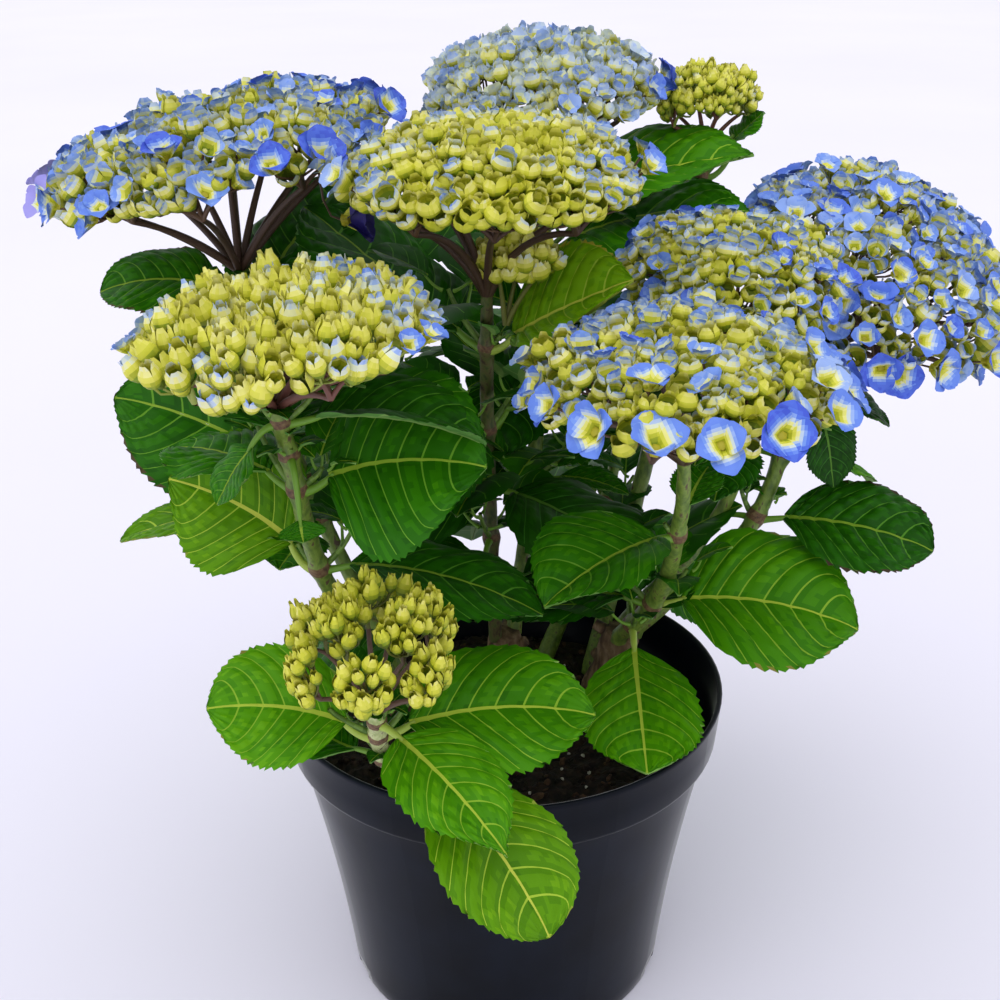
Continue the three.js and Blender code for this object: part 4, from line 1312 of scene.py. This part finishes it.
def branch(bag, places, nearest, hubs, dome, habit, fork, rng):
    """Rays from the fork to each part of the head, parting twice on the way to the flowers."""
    old, young = TWIG_KINDS[habit.twigs[0]], TWIG_KINDS[habit.twigs[1]]
    scale = 0.55 + 0.45 * min(1, dome.radius / 60)
    for k, hub in enumerate(hubs):
        mine = [p for p, n in zip(places, nearest) if n == k]
        if not mine:
            continue
        knot = mix(hub - dome.axis * habit.droop * scale, fork, 0.06)
        reach = np.linalg.norm(knot - fork)
        away = unit(knot - fork)
        start = fork - UP * 1.5 + np.array([*away[:2], 0]) * 1.2
        path = bezier(start, fork + unit(away + UP * habit.rise) * reach * 0.55, knot, 9)
        tube(bag, path, np.linspace(1.75, 1.1, 9) * scale, old, sides=8)
        points = np.array([p.base for p in mine])
        part, middles = parted(points, max(1, len(mine) // 6), rng)
        for g, middle in enumerate(middles):
            joint = mix(middle, knot, 0.45)
            path = bezier(knot, mix(knot, joint, 0.5) + dome.axis, joint, 5)
            tube(bag, path, np.linspace(1.15, 0.85, 5) * scale, old if rng.random() < 0.6 else young, sides=6)
            for place in [p for p, which in zip(mine, part) if which == g]:
                bend = place.base - place.facing * np.linalg.norm(place.base - joint) * 0.4
                tube(bag, bezier(joint, bend, place.base, 4), FLOWER_STALK, young, sides=3)


def fork_of(node, lines):
    """The top of the stem that bears the head; the small cluster grows from the centre stem's side."""
    if node != "bud_cluster_centre":
        return lines[node.replace("flower_head", "stem")].path[-1]
    low, high = box_mm(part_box(node))
    foot = np.array([*mix(low, high, 0.5)[:2], low[2]])
    line = lines["stem_centre"].path
    return mix(line[spans(line - foot).argmin()], foot, 0.6)


HEAD_PIECES = {
    "flowers_left_tall": ("blossom", ["flower_head_left_tall"]),
    "flowers_left_front": ("blossom", ["flower_head_left_front"]),
    "flowers_back": ("blossom", ["flower_head_back", "flower_head_centre"]),
    "flowers_right": ("blossom", ["flower_head_right_front", "flower_head_right"]),
    "flowers_far_right": ("blossom", ["flower_head_far_right"]),
    "flower_buds": ("buds", ["flower_head_low_front", "flower_head_back_right", "bud_cluster_centre"]),
}


def grow_heads(lines):
    """Every head's flowers and branches, in pieces of under 150,000 triangles."""
    keys = np.array([linear(code) for code in BLOOM])
    shades = [mix(keys[k // 2], keys[(k + 1) // 2], 0.5) for k in range(BLOOM_STEPS)]
    bloom = [surface(f"bloom_{k + 1}", shade, 0.6) for k, shade in enumerate(shades)]
    bloom += [surface(f"bloom_{name}", code, 0.6) for name, code in BLOOM_EXTRA.items()]
    twigs = Bag()
    for k, (name, (slot, heads)) in enumerate(HEAD_PIECES.items()):
        flowers = Bag()
        for j, node in enumerate(heads):
            grow_head(node, fork_of(node, lines), flowers, twigs, SEED + 100 * k + 10 * j)
        piece = flowers.build(name, bloom)
        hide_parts(*heads)
    browns = [surface(f"twig_{name}", code, 0.55) for name, code in TWIG_COLOURS.items()]
    piece = twigs.build("flower_branches", browns)


# ---- Pot and soil ----
LIP_DEPTH = 23  # of the collar under the rim, in mm
WALL_THICKNESS = 1.2
SLOTS, SLOT_WIDTH, SLOT_HEIGHT = 8, 13, 5  # drain slots round the foot
SLOT_END = 67  # how near the pot's axis they reach
FOOT_ROWS = 6  # rows of the profile that a drain slot cuts away


def pot_profile(height):
    """The pot's radius and height: up the outside from the foot, over the lip and down the inside."""
    lip = height - LIP_DEPTH
    foot = [(0, 1.4), (66, 1.4), (67.2, 0.9), (68, 0.1), (72.6, 0.0), (73.6, 0.5), (74.2, 1.6), (74.6, 4.9)]
    climb = np.linspace(0, 1, 28)
    wall = np.stack([74.7 + 11.0 * climb + 6.3 * climb**2, 5.3 + 107.7 * climb], 1)
    rim = [
        (93.9, lip - 2.4), (94.4, lip - 0.8), (95.2, lip - 0.1), (96.6, lip + 0.05), (97.4, lip + 0.7),
        (97.7, lip + 2), (98.6, lip + 11), (99.4, height - 2.6), (99.75, height - 1.2),
        (99.5, height - 0.3), (98.6, height), (97.7, height - 0.35), (97.3, height - 1.4),
        (96.4, height - 12), (95.4, lip + 0.5), (92.9, lip - 2),
    ]
    inside = wall[::-3] - [WALL_THICKNESS, 0]
    return np.vstack([foot, wall, rim, inside, [(72.4, 3.2), (0, 3.0)]])


def slot_turns():
    """Columns round the pot, doubled at each slot's sides, and whether each lies in a slot."""
    half = math.degrees(SLOT_WIDTH / 2 / 74)
    period = 360 / SLOTS
    middle = period / 2
    slot = [middle - half - 0.15, middle - half, middle, middle + half, middle + half + 0.15]
    one = [0, 4.5, 9, 13.5, *slot, 31.5, 36, 40.5]
    turns = np.radians([period * k + a for k in range(SLOTS) for a in one])
    return turns, np.array([a in slot[1:4] for _ in range(SLOTS) for a in one])


def make_pot():
    """The pot: the profile turned round, with the drain slots pushed in at its foot."""
    low, high = box_mm(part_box("pot"))
    profile = pot_profile(high[2] - low[2])
    turns, inside = slot_turns()
    radius, height = (np.repeat(profile[:, k : k + 1], len(turns), axis=1) for k in (0, 1))
    rows = slice(2, 2 + FOOT_ROWS)
    radius[rows, inside] = SLOT_END
    height[rows, inside] = np.linspace(1.4, SLOT_HEIGHT, FOOT_ROWS)[:, None]
    points = np.stack([radius * np.cos(turns), radius * np.sin(turns), height + low[2]], -1)
    bag = Bag()
    bag.add_rings(points, 0)
    slate = mottled("pot_slate", ("#070b12", "#0a0f18", "#0e141f"), 40, 0.3, 0.02, detail=3,
                    cuts=(0.35, 0.5, 0.68), Specular_IOR_Level=0.09, Sheen_Weight=0.5, Sheen_Roughness=0.22)
    piece = bag.build("pot_body", [slate])
    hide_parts("pot")


SOIL_RINGS, SOIL_SIDES = 60, 200
SOIL_BITS = 900
BIT_SHARES = (0.72, 0.95)  # peat up to the first, bark up to the second, then white grains
BIT_SIZES = ((0.8, 2.2), (1.2, 3.4), (0.6, 1.2))


def make_soil():
    """An uneven surface that falls a little to the pot's wall, with a skirt down to the soil's foot."""
    low, high = box_mm(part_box("soil"))
    edge = (high[0] - low[0]) / 2 - 0.2
    turn = round_turns(SOIL_SIDES)
    radius = np.sqrt(np.linspace(0.0004, 1, SOIL_RINGS)) * edge
    x, y = radius[:, None] * np.cos(turn), radius[:, None] * np.sin(turn)
    flat = np.stack([x, y, np.zeros_like(x)], -1)
    bumps = 1.3 * ripples(flat, 26, 1) + 0.8 * ripples(flat, 9, 2, 12) + 0.45 * ripples(flat, 3.6, 3, 14)
    fall = 4 * smooth(74, edge, radius)[:, None]
    z = high[2] - 1.2 - fall + bumps * (1 - 0.8 * smooth(edge - 6, edge, radius))[:, None]
    bag = Bag()
    foot = flat[-1] * [0.76, 0.76, 1] + UP * (low[2] + 0.4)
    bag.add_rings(np.concatenate([np.stack([x, y, z], -1), foot[None]]), 0)
    scatter_bits(bag, edge, lambda u, v: surface_height(u, v, radius, turn, z))
    earth = mottled("soil_peat", ("#0b0806", "#1a120d", "#2b1e15", "#3a2a1c"), 4, 0.95, 0.6, detail=9)
    bark = mottled("soil_bark", ("#2a1b12", "#46301f", "#5d442d"), 3, 0.9, 0.4)
    perlite = mottled("soil_perlite", ("#b9b4a6", "#d9d6cc"), 2, 0.9, 0.3)
    piece = bag.build("soil_surface", [earth, bark, perlite], smooth=False)
    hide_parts("soil")


def surface_height(x, y, radius, turn, z):
    ring = np.abs(radius - math.hypot(x, y)).argmin()
    side = int(round((math.atan2(y, x) % (2 * math.pi)) / (2 * math.pi) * len(turn))) % len(turn)
    return z[ring, side]


def scatter_bits(bag, edge, height_at):
    """Crumbs of peat, chips of bark and a few white grains lying on the soil."""
    rng = np.random.default_rng(SEED + 5)
    for _ in range(SOIL_BITS):
        far, angle = math.sqrt(rng.random()) * (edge - 4), rng.uniform(0, 2 * math.pi)
        x, y = far * math.cos(angle), far * math.sin(angle)
        kind = np.searchsorted(BIT_SHARES, rng.random(), side="right")
        size = [rng.uniform(*sizes) for sizes in BIT_SIZES][kind]
        chip = kind == 1
        shape = [1, rng.uniform(0.35, 0.8), rng.uniform(0.2, 0.5)] if chip else rng.uniform(0.7, 1, 3)
        chunk(bag, np.array([x, y, height_at(x, y) + size * 0.3]), size * np.array(shape), kind, rng)


def chunk(bag, middle, sizes, kind, rng):
    """A small rough lump of 20 faces."""
    golden = (1 + 5**0.5) / 2
    corners = np.array([(0, a, b * golden) for a in (-1, 1) for b in (-1, 1)])
    corners = np.concatenate([corners, corners[:, [1, 2, 0]], corners[:, [2, 0, 1]]])
    gaps = gaps_between(corners, corners)
    faces = [(a, b, c) for a in range(12) for b in range(a) for c in range(b)
             if max(gaps[a, b], gaps[b, c], gaps[a, c]) < 2.1]
    faces = [f if np.linalg.det(corners[list(f)]) > 0 else f[::-1] for f in faces]
    turn = np.linalg.qr(rng.normal(size=(3, 3)))[0]
    turn[:, 0] *= np.sign(np.linalg.det(turn))
    points = corners / 1.9 * rng.uniform(0.75, 1.2, (12, 1)) * sizes
    bag.add(points @ turn.T + middle, np.array(faces), kind)


# ---- Stage ----
FLOOR_SIZE = 24  # metres
ROOM_COLOUR, ROOM_STRENGTH = (0.94, 0.94, 1.0, 1), 0.9


def make_stage():
    """A pale floor in a bright room."""
    bpy.ops.mesh.primitive_plane_add(size=FLOOR_SIZE, location=(0, 2, 0))
    floor = bpy.context.object
    floor.name = "floor"
    floor.data.materials.append(mottled("pale_floor", ("#e9e7f4", "#edebf7"), 900, 0.8, 0.0))
    world = bpy.data.worlds.new("studio")
    world.use_nodes = True
    background = world.node_tree.nodes["Background"].inputs
    background["Color"].default_value, background["Strength"].default_value = ROOM_COLOUR, ROOM_STRENGTH
    bpy.context.scene.world = world
    soft_sun("key", (-0.35, -0.5, 1.0), 75, 0.95)
    soft_sun("fill", (0.6, -0.9, 0.9), 90, 0.25)


def soft_sun(name, way_to_it, width, strength):
    """Light from one side of the room, as even as a wide window's: width is in degrees."""
    light = bpy.data.lights.new(name, "SUN")
    light.angle, light.energy = math.radians(width), strength
    thing = bpy.data.objects.new(name, light)
    thing.rotation_euler = (-Vector(way_to_it)).to_track_quat("-Z", "Y").to_euler()
    bpy.context.scene.collection.objects.link(thing)


CAMERA_PLACE = (0.0, -0.553, 0.481)
CAMERA_DOWN, CAMERA_ROLL = 24.0, -0.8
CAMERA_LENS, SENSOR_WIDTH = 50.4, 36


def make_camera():
    """The view of a person standing close, looking down at the plant."""
    down, roll = math.radians(CAMERA_DOWN), math.radians(CAMERA_ROLL)
    ahead = np.array([0, math.cos(down), -math.sin(down)])
    top = np.array([0, math.sin(down), math.cos(down)])
    right = np.array([1.0, 0, 0])
    cos, sin = math.cos(roll), math.sin(roll)
    columns = [right * cos + top * sin, top * cos - right * sin, -ahead]
    data = bpy.data.cameras.new("camera")
    data.lens, data.sensor_width = CAMERA_LENS, SENSOR_WIDTH
    data.clip_end = 60
    camera = bpy.data.objects.new("camera", data)
    place = Matrix.Translation(CAMERA_PLACE)
    camera.matrix_world = place @ Matrix(np.stack(columns, 1).tolist()).to_4x4()
    bpy.context.scene.collection.objects.link(camera)
    bpy.context.scene.camera = camera


# ---- The plant ----
LINES = {n: Line(n) for n in sorted(NODES) if n.startswith(("stem_", "shoot_back", "old_wood"))}
ROOTS = grow_leaves(LINES)
grow_limbs(LINES, ROOTS)
grow_heads(LINES)
make_pot()
make_soil()
make_stage()
make_camera()
bpy.context.scene.view_settings.view_transform = "Standard"
